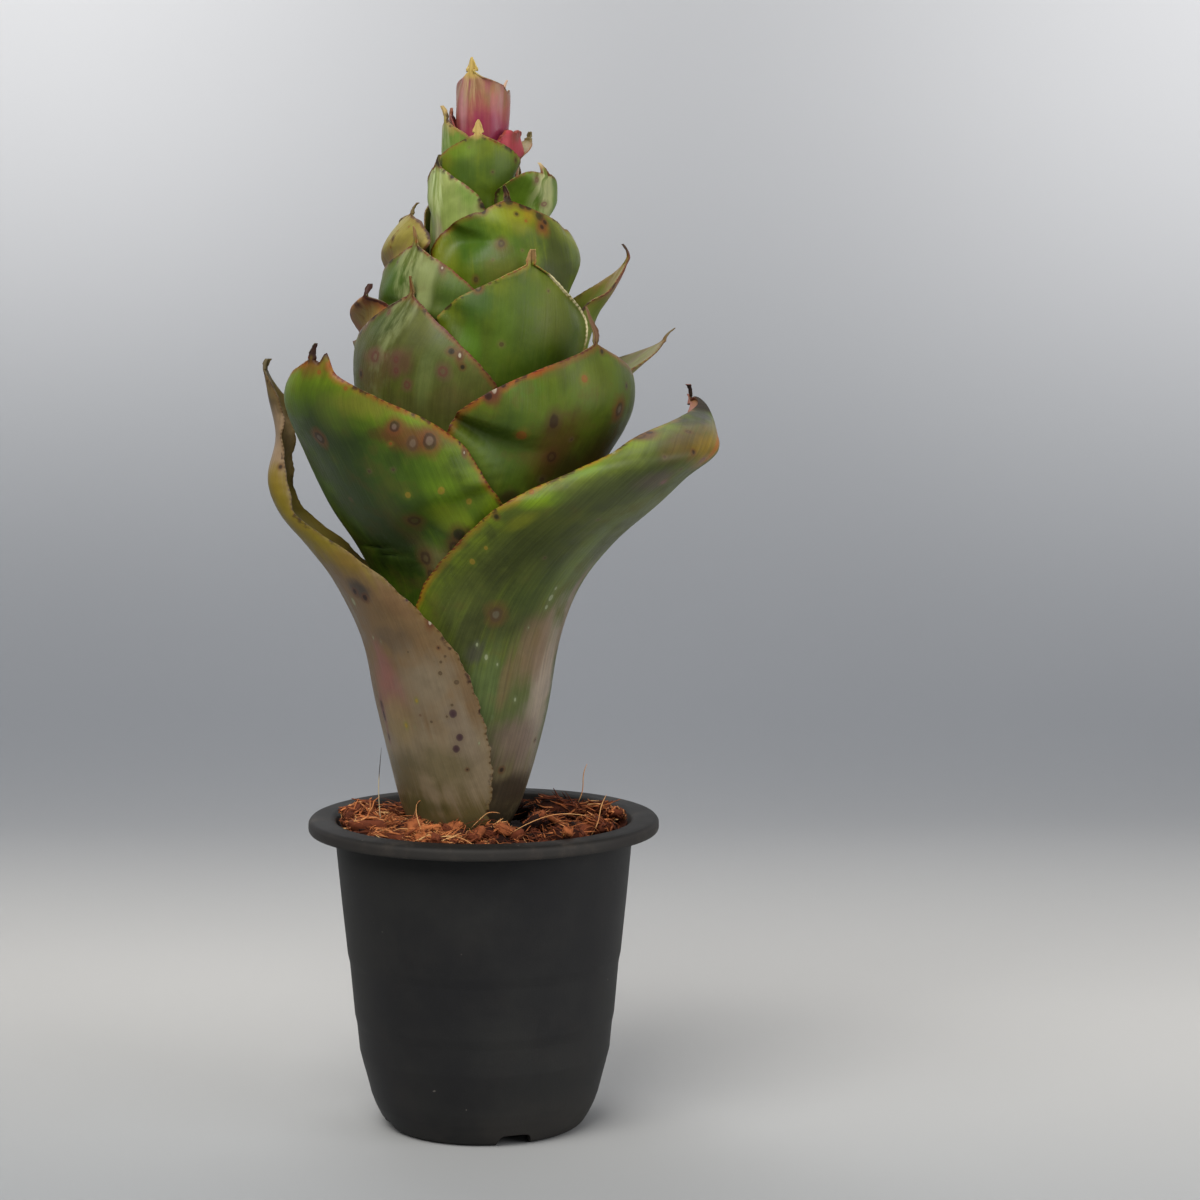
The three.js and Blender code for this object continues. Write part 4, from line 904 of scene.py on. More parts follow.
class LeafSkin(Finish):  # a leaf's material, painted in layers from the ground colours to the dry tip
    def __init__(self, name, look):
        super().__init__("skin_" + name, 0.45, specular=0.22, coat=look["gloss"], coatRoughness=0.22)
        self.look = look
        self.solid = self.place()
        self.edge, self.tip, self.height = (self.stored(key) for key in ("edge", "tip", "height"))
        self.away, self.ray, self.inner = (self.stored(key) for key in ("away", "ray", "inner"))
        self.wide = self.noise(self.solid, 34, 2, 0.5, 0.6)        # clouds of tone, about 30 mm
        self.cloud = self.noise(self.solid, 85, 3, 0.55, 0.5)      # about 12 mm
        self.small = self.noise(self.solid, 170, 4, 0.62)          # mottling of a few millimetres
        self.streaks = self.noise(self.place((3.2, 0.22, 1), "UV"), 1.0, 3, 0.6, 0.2)
        self.veins = self.noise(self.place((11, 0.3, 1), "UV"), 1.0, 2, 0.55)
        self.fineVeins = self.noise(self.place((44, 1.0, 1), "UV"), 1.0, 2, 0.6)
        self.crumpled = 0.0                      # how dead and crumpled the leaf is there
        clouds = self.plus(self.wide, (self.cloud, 0.8), (self.streaks, 0.35))
        self.paint = self.over(self.ease(clouds, 0.88, 1.25), look["deep"], look["fresh"])

    def layer(self, share, paint, how="MIX"):
        self.paint = self.over(share, self.paint, paint, how)

    def brightSides(self):
        look = self.look
        fromEdge = self.plus(self.edge, (self.wide, 12.0), (self.cloud, 8.0), -10.0)
        nearMargin = self.ease(fromEdge, look["brightWide"], 1.5)
        broken = self.ease(self.plus(self.cloud, (self.wide, 0.6)), 0.62, 0.95, 0.3, 1)
        self.layer(self.times(nearMargin, broken, look["brightShare"]), look["bright"])
        self.layer(self.ease(self.streaks, 0.56, 0.72, 0, 0.22 * look["brightShare"]), look["bright"])

    def fades(self):
        uneven = self.plus(self.height, (self.streaks, 20.0), (self.cloud, 12.0), -16.0)
        for high, low, paint, share in self.look["fades"]:
            self.layer(self.ease(uneven, high, low, 0, share), paint)

    def patches(self, rows):
        uneven = self.plus((self.streaks, 0.7), (self.cloud, 0.9), (self.small, 0.5), -1.05)
        for away, height, halfWide, halfTall, paint, share in rows:
            across = {0: self.away, 1: 1 / halfWide, 2: -away / halfWide}
            upwards = {0: self.height, 1: 1 / halfTall, 2: -height / halfTall}
            x, y = (self.node("Math", part, operation="MULTIPLY_ADD") for part in (across, upwards))
            apart = self.node("CombineXYZ", {0: x, 1: y})
            span = self.node("VectorMath", {0: apart}, out="Value", operation="LENGTH")
            self.layer(self.ease(self.sum("ADD", span, uneven), 1.3, 0.35, 0, share), paint)

    # painted highlight: pale streaks on the pleats below the tip, and on some leaves their own straw-coloured streaks
    def paleRaysAndHighlight(self):       # pale rays that open downwards from the tip
        look = self.look
        raySpace = {0: self.sum("MULTIPLY", self.ray, look["rays"]), 1: self.sum("MULTIPLY", self.tip, 0.03)}
        rays = self.noise(self.node("CombineXYZ", raySpace), 2.2, 4, 0.6)
        nearMidrib = self.ease(self.sum("ABSOLUTE", self.away), look["fanWide"], look["fanWide"] * 0.15)
        opened = self.times(self.ease(self.tip, look["fanLong"], 0), self.ease(rays, 0.42, 0.6))
        self.layer(self.times(opened, nearMidrib, look["fanShare"]), look["paleRaysAndHighlight"])

    def grain(self):     # blotches, veins and scales
        look = self.look
        blotch = self.ease(self.plus(self.small, (self.wide, 0.9)), 1.0, 1.22, 0, look["blotchShare"])
        self.layer(blotch, look["blotch"])
        lines = self.ease(self.plus((self.veins, 0.6), (self.fineVeins, 0.4)), 0.3, 0.7)
        self.layer(look["veinShare"] * 1.5, self.over(lines, "#4c4c4c", "#b4b4b4"), "OVERLAY")
        scales = self.over(self.ease(self.small, 0.3, 0.7), "#585858", "#a8a8a8")
        self.layer(0.3, scales, "OVERLAY")

    def margins(self):   # the glow beside a margin, its dark line and its burnt places
        look = self.look
        nearEdge = self.plus(self.edge, (self.small, 2.2), (self.cloud, 3.4), -2.8)
        uneven = self.ease(self.plus(self.cloud, self.wide), 0.8, 1.15, 0.35, 1.0)
        glow = self.times(self.ease(nearEdge, look["glowWide"], 0.2), uneven, look["glowShare"])
        self.layer(glow, look["glow"])
        thinEdge = self.plus(self.edge, (self.small, 1.3), (self.cloud, 0.8), -1.05)
        line = self.ease(thinEdge, look["edgeWide"] + 0.35, look["edgeWide"] - 0.25)
        self.layer(self.times(line, 0.92), look["edge"])
        scorched = self.ease(self.plus(self.small, (self.cloud, 0.7)), 0.92, 1.0)
        self.layer(self.times(self.ease(self.edge, 1.7, 0.5), scorched, 0.85), "#2a1510")

    def spots(self, marks):
        uneven = self.sum("DIVIDE", 1.0, self.plus(0.25, (self.small, 1.0), (self.cloud, 0.5)))
        for point, radius, kind in marks:
            middle, ring, halo, middleShare, haloShare, tall = spotKinds[kind]
            size = 2.6 * radius * mm
            apart = self.node("VectorMath", {0: self.solid, 1: tuple(point * mm)}, operation="SUBTRACT")
            scale = (1 / size, 1 / size, 1 / size / tall)
            sized = self.node("VectorMath", {0: apart, 1: scale}, operation="MULTIPLY")
            span = self.node("VectorMath", {0: sized}, out="Value", operation="LENGTH")
            self.layer(*self.rings(self.sum("MULTIPLY", span, uneven), [
                (0.16, middle, middleShare), (0.23, ring, 0.85), (0.32, ring, 0.8),
                (0.42, halo, haloShare), (0.85, halo, 0),
            ]))

    def rings(self, span, stops):                # share and colour at a distance from the middle of a mark
        ramp = self.nodes.new("ShaderNodeValToRGB")
        self.feed(ramp.inputs["Fac"], span)
        for place, _, _ in stops[2:]:
            ramp.color_ramp.elements.new(place)
        for element, (place, paint, share) in zip(ramp.color_ramp.elements, stops):
            element.position = place
            element.color = (*tone(paint)[:3], share)
        return ramp.outputs["Alpha"], ramp.outputs["Color"]

    def dryEnds(self):   # the dry tip, a pale rim and a dead end
        look = self.look
        nearTip = self.plus(self.tip, (self.small, 4.0), -2.0)
        self.layer(self.ease(nearTip, look["dryLong"] + 1.5, look["dryLong"] - 1.5, 0, 0.95), look["dry"])
        if look["paleRim"]:
            beyond, low, high, paint = look["paleRim"]
            rim = self.times(self.ease(self.edge, 1.0, 0.5), self.ease(self.away, beyond, beyond + 2))
            rim = self.times(rim, self.ease(self.height, low, low + 6))
            self.layer(self.times(rim, self.ease(self.height, high + 2, high - 1), 0.9), paint)
        if look["dead"]:
            reach, spread = look["dead"]
            fromTip = self.plus(self.tip, (self.small, 8.0), (self.cloud, 8.0), -8.0)
            dead = self.ease(fromTip, reach + spread, reach - spread)
            self.crumpled = self.times(dead, self.ease(self.inner, 0.9, 0.1))
            self.layer(self.times(self.crumpled, 0.95), "#21140f")

    def finish(self):    # dirt at the foot, the inner face, warmth, gloss and relief
        look = self.look
        if look["grime"] > 0:
            dirt = self.ease(self.plus(self.small, self.wide), 0.88, 1.1)
            self.layer(self.times(dirt, self.ease(self.height, 116, 98), look["grime"]), "#2e261c")
        self.layer(self.sum("MULTIPLY", self.inner, 0.7 if look["dead"] else 0.35), look["inside"])
        self.layer(look["warm"], "#fffcdc", "MULTIPLY")
        self.colour(self.paint)
        self.rough(self.plus(self.ease(self.small, 0.3, 0.75, 0.38, 0.54), (self.crumpled, 0.4)))
        self.bump(self.plus((self.veins, 0.7), (self.fineVeins, 0.3), (self.small, 0.7)), 0.25, 0.5)
        return self.material


def leafSkin(name, look, marks):
    skin = LeafSkin(name, look)
    skin.brightSides()
    skin.fades()
    skin.patches(leafPatches.get(name, ()))
    skin.paleRaysAndHighlight()
    skin.grain()
    skin.margins()
    skin.spots(marks)
    skin.dryEnds()
    return skin.finish()


# Keeps distances across and along the leaf, in centimetres, as its UV map
def keepPlaces(mesh, places):
    layer = mesh.uv_layers.new(name="leafPlace")
    corners = np.empty(len(mesh.loops), np.int32)
    mesh.loops.foreach_get("vertex_index", corners)
    layer.data.foreach_set("uv", places[corners].astype(np.float32).ravel())


def makeLeaf(order):
    name = list(leaves)[order]
    look = {**plainLook, **leafLooks.get(name, {})}
    form = {**plainForm, "phase": order * 1.7, **leafForms.get(name, {})}
    points, across, away, spikePart = leafGrid(order, form)
    marks = [(nearestPoint(points, away, row[:2]), row[2], row[3]) for row in leafSpots.get(name, ())]
    margin = np.concatenate([points[:, 0], points[:, -1]])
    flat = points.reshape(-1, 3)
    edge = np.min(np.linalg.norm(flat[:, None, :] - margin[None, ::2, :], axis=2), axis=1)
    tip = np.linalg.norm(flat - points[-1].mean(axis=0), axis=1)
    both, faces = thickened(toothed(points, form), across, spikePart)
    piece = addMesh("fine_" + name, both, faces, leafSkin(name, look, marks))
    keepOnPoints(piece.data, "edge", np.tile(edge, 2))
    keepOnPoints(piece.data, "tip", np.tile(tip, 2))
    keepOnPoints(piece.data, "away", np.tile(away.ravel(), 2))
    keepOnPoints(piece.data, "ray", np.tile(away.ravel() / (tip + 4), 2))
    keepOnPoints(piece.data, "height", both[:, 2])
    keepOnPoints(piece.data, "inner", np.repeat([0.0, 1.0], len(flat)))
    place = np.stack([away.ravel() * 0.1 + 7, flat[:, 2] * 0.1 + order * 3.7], 1)
    keepPlaces(piece.data, np.tile(place, (2, 1)))
    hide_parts(name)
    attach(piece, "root")


# Pot

potLook = {
    "rimRadius": 55.0, "rimHeight": 98.0, "lipDepth": 4.2, "wall": 1.3, "footRadius": 29.6, "footWidth": 2.4,
    "floorHeight": 4.0, "notchWide": 10.8, "notchHigh": 3.8, "notchTurn": 16.7, "notches": 4,
    "holeRadius": 3.5, "holeReach": 19.0, "holeSides": 32, "sides": 160, "cornerRound": 0.5,
    "sharpFrom": 38.0,       # degrees between faces where the shading breaks
}

# Outside of the pot wall, as radius and height, with its small moulded steps
potSide = [
    (31.4, 1.2), (33.2, 4.1), (34.8, 7.3), (36, 10.6), (37.1, 15), (38.75, 21.2), (39.5, 24.2), (40.3, 32.6),
    (40.95, 35.6), (42.4, 52.0), (43.05, 55.0), (44.8, 72), (46.3, 88), (46.7, 93),
]
wallTop = 93
wallLevels = (7.3, 10.6, 15, 22.2, 22.6, 53.2, 53.8)     # where the inside of the wall turns


def potInside(z):
    return float(blend([(h, r) for r, h in potSide], z)[1]) - potLook["wall"]


def roundedCorners(profile, radius, steps=2):
    result = [profile[0]]
    for before, corner, after in zip(profile, profile[1:], profile[2:]):
        before, corner, after = (np.array(p, float) for p in (before, corner, after))
        cut = min(radius, 0.4 * np.linalg.norm(before - corner), 0.4 * np.linalg.norm(after - corner))
        start = corner + (before - corner) / np.linalg.norm(before - corner) * cut
        end = corner + (after - corner) / np.linalg.norm(after - corner) * cut
        for t in np.linspace(0, 1, steps + 1):
            result.append(tuple((1 - t) ** 2 * start + 2 * t * (1 - t) * corner + t ** 2 * end))
    return [*result, profile[-1]]


# Points and faces of a profile turned about Z, closed on the axis
def turned(profile, sides, centre=None):
    points, faces = [], []
    rings = []
    for r, z in profile:
        if r < 1e-6:
            rings.append([len(points)])
            points.append((0.0, 0.0, z))
            continue
        rings.append(list(range(len(points), len(points) + sides)))
        turn = 2 * math.pi * np.arange(sides) / sides
        points.extend(zip(r * np.sin(turn), -r * np.cos(turn), np.full(sides, z)))
    for low, high in zip(rings, rings[1:]):
        for k in range(sides):
            n = (k + 1) % sides
            if len(low) == 1 and len(high) > 1:
                faces.append((low[0], high[n], high[k]))
            elif len(high) == 1 and len(low) > 1:
                faces.append((low[k], low[n], high[0]))
            elif len(high) > 1:
                faces.append((low[k], low[n], high[n], high[k]))
    points = np.array(points)
    if centre is not None:
        points[:, 0] += centre(points[:, 2])
    return points, faces


def cutAway(piece, cutter):
    bpy.context.view_layer.update()
    cut = piece.modifiers.new("cut", "BOOLEAN")
    cut.operation = "DIFFERENCE"
    cut.object = cutter
    cut.solver = "MANIFOLD"
    applied = bpy.data.meshes.new_from_object(piece.evaluated_get(bpy.context.evaluated_depsgraph_get()))
    piece.modifiers.clear()
    piece.data = applied
    bpy.data.objects.remove(cutter)


def prism(low, high):    # closed solid between two outlines with the same number of points
    count = len(low)
    faces = [tuple(range(count - 1, -1, -1)), tuple(range(count, 2 * count))]
    for i in range(count):
        n = (i + 1) % count
        faces.append((i, n, count + n, count + i))
    return np.array([*low, *high], float), faces, 0.0


def potFinish():
    black = Finish("matte_black_pot", roughness=0.5, specular=0.12)
    solid = black.place()
    cloud = black.noise(solid, 22, 4, 0.6)
    fine = black.noise(solid, 1400, 2, 0.6)
    brushed = black.noise(black.place((900, 900, 40)), 1.0, 2, 0.5)
    height = black.node("SeparateXYZ", {0: solid}, out=2)
    colour = black.over(black.ease(cloud, 0.35, 0.7), "#212122", "#2a2a29")
    # The rim is painted lighter and browner and holds more dust: real dust, and a painted sheen on the rim.
    dustAndSheen = black.ease(black.noise(solid, 60, 6, 0.7), 0.46, 0.74, 0, 0.2)
    onRim = black.ease(height, 0.092, 0.0945)
    colour = black.over(black.sum("MULTIPLY", onRim, 0.45), colour, "#332f2c")
    # painted shade: the flat top of the brim is painted darker
    colour = black.over(black.ease(height, 0.0968, 0.0977, 0, 0.8), colour, "#131211")
    colour = black.over(black.sum("MULTIPLY", dustAndSheen, black.plus(0.1, onRim)), colour, "#665a4e")
    specks = black.ease(black.noise(solid, 420, 1, 0.5), 0.795, 0.83, 0, 0.5)
    colour = black.over(specks, colour, "#77706a")
    low = black.ease(height, 0.02, 0.0)
    colour = black.over(black.sum("MULTIPLY", low, black.ease(cloud, 0.4, 0.65, 0, 0.3)), colour, "#403b36")
    black.colour(colour)
    black.rough(black.ease(cloud, 0.3, 0.75, 0.5, 0.64))
    black.bump(black.plus(fine, (brushed, 0.5)), 0.06, 0.5)
    return black.material


def potCutters(look):    # the arched notches in the foot ring and the drain holes
    half, high = look["notchWide"] / 2, look["notchHigh"]
    side = [(half, -1), (half, high * 0.35), (half * 0.92, high * 0.72)]
    side += [(half * 0.75, high * 0.93), (half * 0.45, high)]
    arch = [(-side[0][0], side[0][1]), *side, *[(-x, z) for x, z in side[:0:-1]]]
    hole = [2 * math.pi * i / look["holeSides"] for i in range(look["holeSides"])]
    parts = []
    for k in range(look["notches"]):
        turn = (look["notchTurn"] + 360 / look["notches"] * k) * degree
        out, along = np.array([math.sin(turn), -math.cos(turn)]), np.array([math.cos(turn), math.sin(turn)])
        parts.append(prism(*([(*(x * along + depth * out), z) for x, z in arch] for depth in (22, 40))))
        middle = look["holeReach"] * out
        radius = look["holeRadius"]
        ring = [(middle[0] + radius * math.cos(a), middle[1] + radius * math.sin(a)) for a in hole]
        parts.append(prism([(x, y, -2) for x, y in ring], [(x, y, 8) for x, y in ring]))
    return gather(parts)


def makePot(look):
    lip = look["rimHeight"] - look["lipDepth"]
    rim = look["rimRadius"]
    floor = look["floorHeight"]
    outside = [
        (0, floor - look["wall"]), (look["footRadius"] - look["footWidth"], floor - look["wall"]),
        (look["footRadius"] - look["footWidth"], 0), (look["footRadius"], 0), *potSide,
        (rim - 8, lip + 1.6), (rim - 1.6, lip + 1.6), (rim - 1.3, lip), (rim - 0.3, lip), (rim, lip + 0.8),
        (rim, look["rimHeight"] - 1.4), (rim - 0.8, look["rimHeight"] - 0.3), (rim - 2.4, look["rimHeight"]),
        (47.9, look["rimHeight"]), (46.4, look["rimHeight"] - 0.8),
    ]
    inside = [(potInside(z), z) for z in (wallTop, *reversed(wallLevels))]
    profile = [*outside, *inside, (31, floor), (0, floor)]
    points, faces = turned(roundedCorners(profile, look["cornerRound"]), look["sides"])
    piece = addMesh("nursery_pot", points, faces, potFinish())
    cutterPoints, cutterFaces, _ = potCutters(look)
    cutAway(piece, addMesh("cutter", cutterPoints, cutterFaces, piece.data.materials[0], False))
    piece.data.polygons.foreach_set("use_smooth", [True] * len(piece.data.polygons))
    piece.data.set_sharp_from_angle(angle=look["sharpFrom"] * degree)
    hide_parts("pot")
    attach(piece, "root")


# Stem

def makeStem():
    bark = Finish("stem_bark", roughness=0.75)
    solid = bark.place()
    rings = bark.noise(bark.place((60, 60, 420)), 1.0, 3, 0.6)
    colour = bark.over(bark.ease(bark.noise(solid, 90, 4, 0.6), 0.35, 0.7), "#5a4e30", "#8a8258")
    bark.colour(bark.over(bark.ease(rings, 0.45, 0.62, 0, 0.7), colour, "#44341f"))
    bark.bump(rings, 0.5, 0.8)
    low = stemShape["radiusLow"]
    profile = [(0, stemShape["foot"]), (low * 0.6, stemShape["foot"]), (low, stemShape["foot"] + 14)]
    for z in np.arange(stemShape["narrowsFrom"], stemShape["top"], 2.0):
        scar = 0.12 * math.cos(2 * math.pi * z / 9.5)
        profile.append((float(stemRadius(z)) + min(scar, 0), z))
    profile.append((0, stemShape["top"] + 1))
    points, faces = turned(profile, 40, axisAt)
    piece = addMesh("stem_core", points, faces, bark.material)
    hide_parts("stem")
    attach(piece, "root")


# Growing medium: a plug, clumps of husk fibre and loose fibres

mediumLook = {
    "top": 92.0, "swell": 1.6, "heap": 3.4, "frontRise": 2.6,
    "seatGap": 0.3, "plugBrim": 88.0, "plugMiddle": 86.0,
    "clumps": 56, "fibresOnClump": 60, "chips": 84, "fibresOnChip": 26, "looseFibres": 340,
    "nearStem": 19.8, "inner": 17.0, "nearWall": 45.0, "chipsNearWall": 46.5,
    "looseFrom": 20.5, "looseTo": 43.5,
    "paintedShadeBeyond": 2.0,       # husk right of this is painted darker, as painted shade on the right side
    "paintedShadeOnClumps": 0.34, "paintedShadeOnChips": 0.18, "paintedShadeOnFibres": 0.15,
}

# Clumps that stand out, as place on the surface, lift, length, heading and shade; the low shades on the right side are
# painted shade
namedClumps = [
    (-40, 8, 5.0, 13, 20, 0.62), (-36, -14, 3.6, 15, -25, 0.66), (-41, -4, 4.4, 12, 60, 0.5),
    (-24, -30, 3.4, 16, -30, 0.58), (-12, -37, 2.6, 17, 5, 0.55), (-20, -36, 2.2, 13, 30, 0.68),
    (14, -37, 2.0, 15, -6, 0.5), (28, -28, 3.4, 17, 25, 0.3), (36, -16, 4.2, 15, 50, 0.4),
    (24, 8, 6.0, 15, 10, 0.3), (34, 10, 5.6, 14, -20, 0.4), (41, -2, 4.6, 12, 80, 0.5),
    (20, -22, 4.0, 15, 12, 0.2),
]

# Single long fibres, as start, end and rise of the middle
namedFibres = [
    ((-19, -30, 94), (-20.5, -24, 106), 0.0), ((-14, -38, 98), (2, -44, 93), 2.5),
    ((-44, 2, 97), (-30, -14, 96), 2.5), ((33, -24, 96), (38, -20, 108), 0.0),
    ((8, -26, 97), (33, -20, 101), 3.0), ((-4, -22, 98), (5, -24, 103), 2.0),
    ((-30, -28, 97), (-18, -33, 96), 3.0), ((30, 12, 100), (33, 14, 112), 0.0),
    ((-23, -12, 98), (-19, -16, 106), 1.0),
]


def mediumHeight(x, y):
    lump = np.sin(x * 0.21 + 1) * np.cos(y * 0.27 - 0.6) + 0.6 * np.sin(x * 0.47 - y * 0.39)
    hollow = 3.2 * np.exp(-((x - 11) ** 2 + (y + 30) ** 2) / 130)
    return mediumLook["top"] + mediumLook["swell"] * (np.abs(x) / 45) ** 2 + lump - hollow


def heapHeight(x, y):    # the clumps lie higher towards the stem
    fromStem = np.hypot(x - axisAt(95), y)
    front = np.clip((-y - 18) / 20, 0, 1) * mediumLook["frontRise"]
    sunken = np.clip((np.hypot(x, y) - 33) / 8, 0, 1) * np.clip((y + 12) / 16, 0, 1) * 3.4
    return mediumHeight(x, y) + front - sunken + mediumLook["heap"] * np.exp(-((fromStem - 19) / 12) ** 2)


def fibreTube(path, radius, sides=3):            # points and faces of a thin closed fibre along a path
    path = np.asarray(path, float)
    count = len(path)
    ahead = unit(np.gradient(path, axis=0))
    helper = np.where(np.abs(ahead[:, 2:3]) > 0.8, [[1.0, 0, 0]], [[0, 0, 1.0]])
    side = unit(np.cross(ahead, helper))
    lift = np.cross(side, ahead)
    thin = radius * (1 - 0.65 * np.abs(np.linspace(-1, 1, count)) ** 4)
    turn = 2 * math.pi * np.arange(sides) / sides
    ring = side[:, None] * np.cos(turn)[None, :, None] + lift[:, None] * np.sin(turn)[None, :, None]
    points = (path[:, None] + ring * thin[:, None, None]).reshape(-1, 3)
    faces = []
    for j in range(count - 1):
        for k in range(sides):
            n = (k + 1) % sides
            faces.append((j * sides + k, j * sides + n, (j + 1) * sides + n, (j + 1) * sides + k))
    faces.append(tuple(range(sides - 1, -1, -1)))
    faces.append(tuple((count - 1) * sides + k for k in range(sides)))
    return points, faces


def gather(parts):       # joins lists of points, faces and tones
    points, faces, tones = [], [], []
    count = 0
    for partPoints, partFaces, partTone in parts:
        points.append(partPoints)
        faces.extend(tuple(i + count for i in face) for face in partFaces)
        tones.append(np.full(len(partPoints), partTone))
        count += len(partPoints)
    return np.concatenate(points), faces, np.concatenate(tones)


def huskClump(centre, size, heading, shade):     # a ragged core wrapped in fibres that mostly run one way
    profile = [(math.sin(math.pi * k / 7), -math.cos(math.pi * k / 7)) for k in range(8)]
    profile[0], profile[-1] = (0, -1), (0, 1)
    points, faces = turned(profile, 11)
    points = np.sign(points) * np.abs(points) ** 0.8
    lumps = np.sin(points @ draw.normal(size=(3, 4)) * 2.6 + draw.uniform(0, 6, 4)).mean(axis=1)
    grain = unit(np.array([math.cos(heading), math.sin(heading), draw.normal() * 0.2]))
    sideways = unit(np.cross([0, 0, 1.0], grain) + draw.normal(size=3) * 0.15)
    axes = np.stack([grain, sideways, np.cross(grain, sideways)])
    core = (points * (1 + 0.5 * lumps)[:, None] * size * 0.46) @ axes + centre
    # painted shade: the core is half as light as the fibres round it
    parts = [(core, faces, shade * 0.5)]
    for _ in range(mediumLook["fibresOnClump"]):
        out = unit(draw.normal(size=3) + [0, 0, 0.4])
        root = (out * size * draw.uniform(0.4, 0.56)) @ axes
        run = unit(grain + draw.normal(size=3) * 0.34)
        long = size[0] * draw.uniform(0.25, 0.7)
        t = np.linspace(-0.5, 0.5, 5)[:, None]
        bow = (out @ axes) * draw.uniform(-1.1, 0.3)
        kink = unit(draw.normal(size=3)) * draw.uniform(0, 0.5)
        path = centre + root + run * t * long + bow * (t ** 2) * 4 + kink * np.sin(t * 9)
        tint = float(np.clip(shade + draw.normal() * 0.2, 0.02, 1.05))
        parts.append((*fibreTube(path, draw.uniform(0.14, 0.4)), tint))
    return parts


# A broken flat piece of husk with a rough skin and a few fibres
def huskChip(centre, size, heading, tilt, shade):
    profile = [(0, -1), (0.62, -0.92), (0.94, -0.45), (1, 0.1), (0.86, 0.7), (0.55, 0.96), (0, 1)]
    points, faces = turned(profile, 13)
    points = np.sign(points) * np.abs(points) ** 0.62
    rough = np.sin(points @ draw.normal(size=(3, 5)) * 3.4 + draw.uniform(0, 6, 5)).mean(axis=1)
    grain = unit(np.array([math.cos(heading), math.sin(heading), math.sin(tilt)]))
    sideways = unit(np.cross([0, 0, 1.0], grain) + [0, 0, draw.normal() * 0.5])
    axes = np.stack([grain, sideways, np.cross(grain, sideways)])
    core = (points * (1 + 0.42 * rough)[:, None] * size * 0.5) @ axes + centre
    parts = [(core, faces, shade)]
    for _ in range(mediumLook["fibresOnChip"]):
        out = unit(draw.normal(size=3) + [0, 0, 0.3])
        root = (out * size * 0.5) @ axes
        long = size[0] * draw.uniform(0.3, 0.8)
        t = np.linspace(-0.5, 0.5, 5)[:, None]
        run = unit(grain + draw.normal(size=3) * 0.25)
        path = centre + root + run * t * long + (out @ axes) * draw.uniform(0, 0.9) * (4 * t ** 2)
        tint = float(np.clip(shade + draw.normal() * 0.16 + 0.06, 0.02, 1.05))
        parts.append((*fibreTube(path, draw.uniform(0.08, 0.2)), tint))
    return parts


def huskFinish():
    husk = Finish("coconut_husk", roughness=0.85, specular=0.15)
    solid = husk.place()
    shade = husk.stored("shade")
    mottle = husk.noise(solid, 240, 4, 0.65)
    value = husk.plus(shade, (mottle, 0.5), -0.25)
    colour = husk.over(husk.ease(value, 0.08, 0.46), "#1a0b08", "#66331f")
    colour = husk.over(husk.ease(value, 0.42, 0.82), colour, "#b86e40")
    colour = husk.over(husk.ease(value, 0.8, 1.1), colour, "#cfa26c")
    husk.colour(colour)
    husk.bump(husk.noise(solid, 900, 4, 0.7), 0.4, 0.8)
    return husk.material


# Moves a place outwards until it clears the foot of the plant
def clearOfStem(x, y, spare):
    fromStem = max(math.hypot(x - axisAt(95), y), 1)
    away = max(1, (mediumLook["nearStem"] + spare) / fromStem)
    return axisAt(95) + (x - axisAt(95)) * away, y * away


def mediumPlug(look):
    floor = potLook["floorHeight"] + look["seatGap"]
    profile = [(0, floor), (30 - look["seatGap"], floor)]
    profile += [(potInside(z) - look["seatGap"], z) for z in wallLevels]
    edge = potInside(look["plugMiddle"]) - look["seatGap"]
    brim = look["plugBrim"]
    profile += [(edge * (1 - k / 24), brim) for k in range(24)] + [(0, brim)]
    points, faces = turned(profile, 72)
    top = points[:, 2] == brim
    x, y = points[top, 0], points[top, 1]
    points[top, 2] = mediumHeight(x, y) - 0.6 + 0.5 * np.sin(x * 1.7) * np.cos(y * 1.9)
    inner = top & (np.hypot(points[:, 0] - axisAt(90), points[:, 1]) < 17)
    points[inner, 2] = look["plugMiddle"]
    # painted shade: the plug is nearly black, standing for the shade in the gaps between the clumps
    return points, faces, 0.04


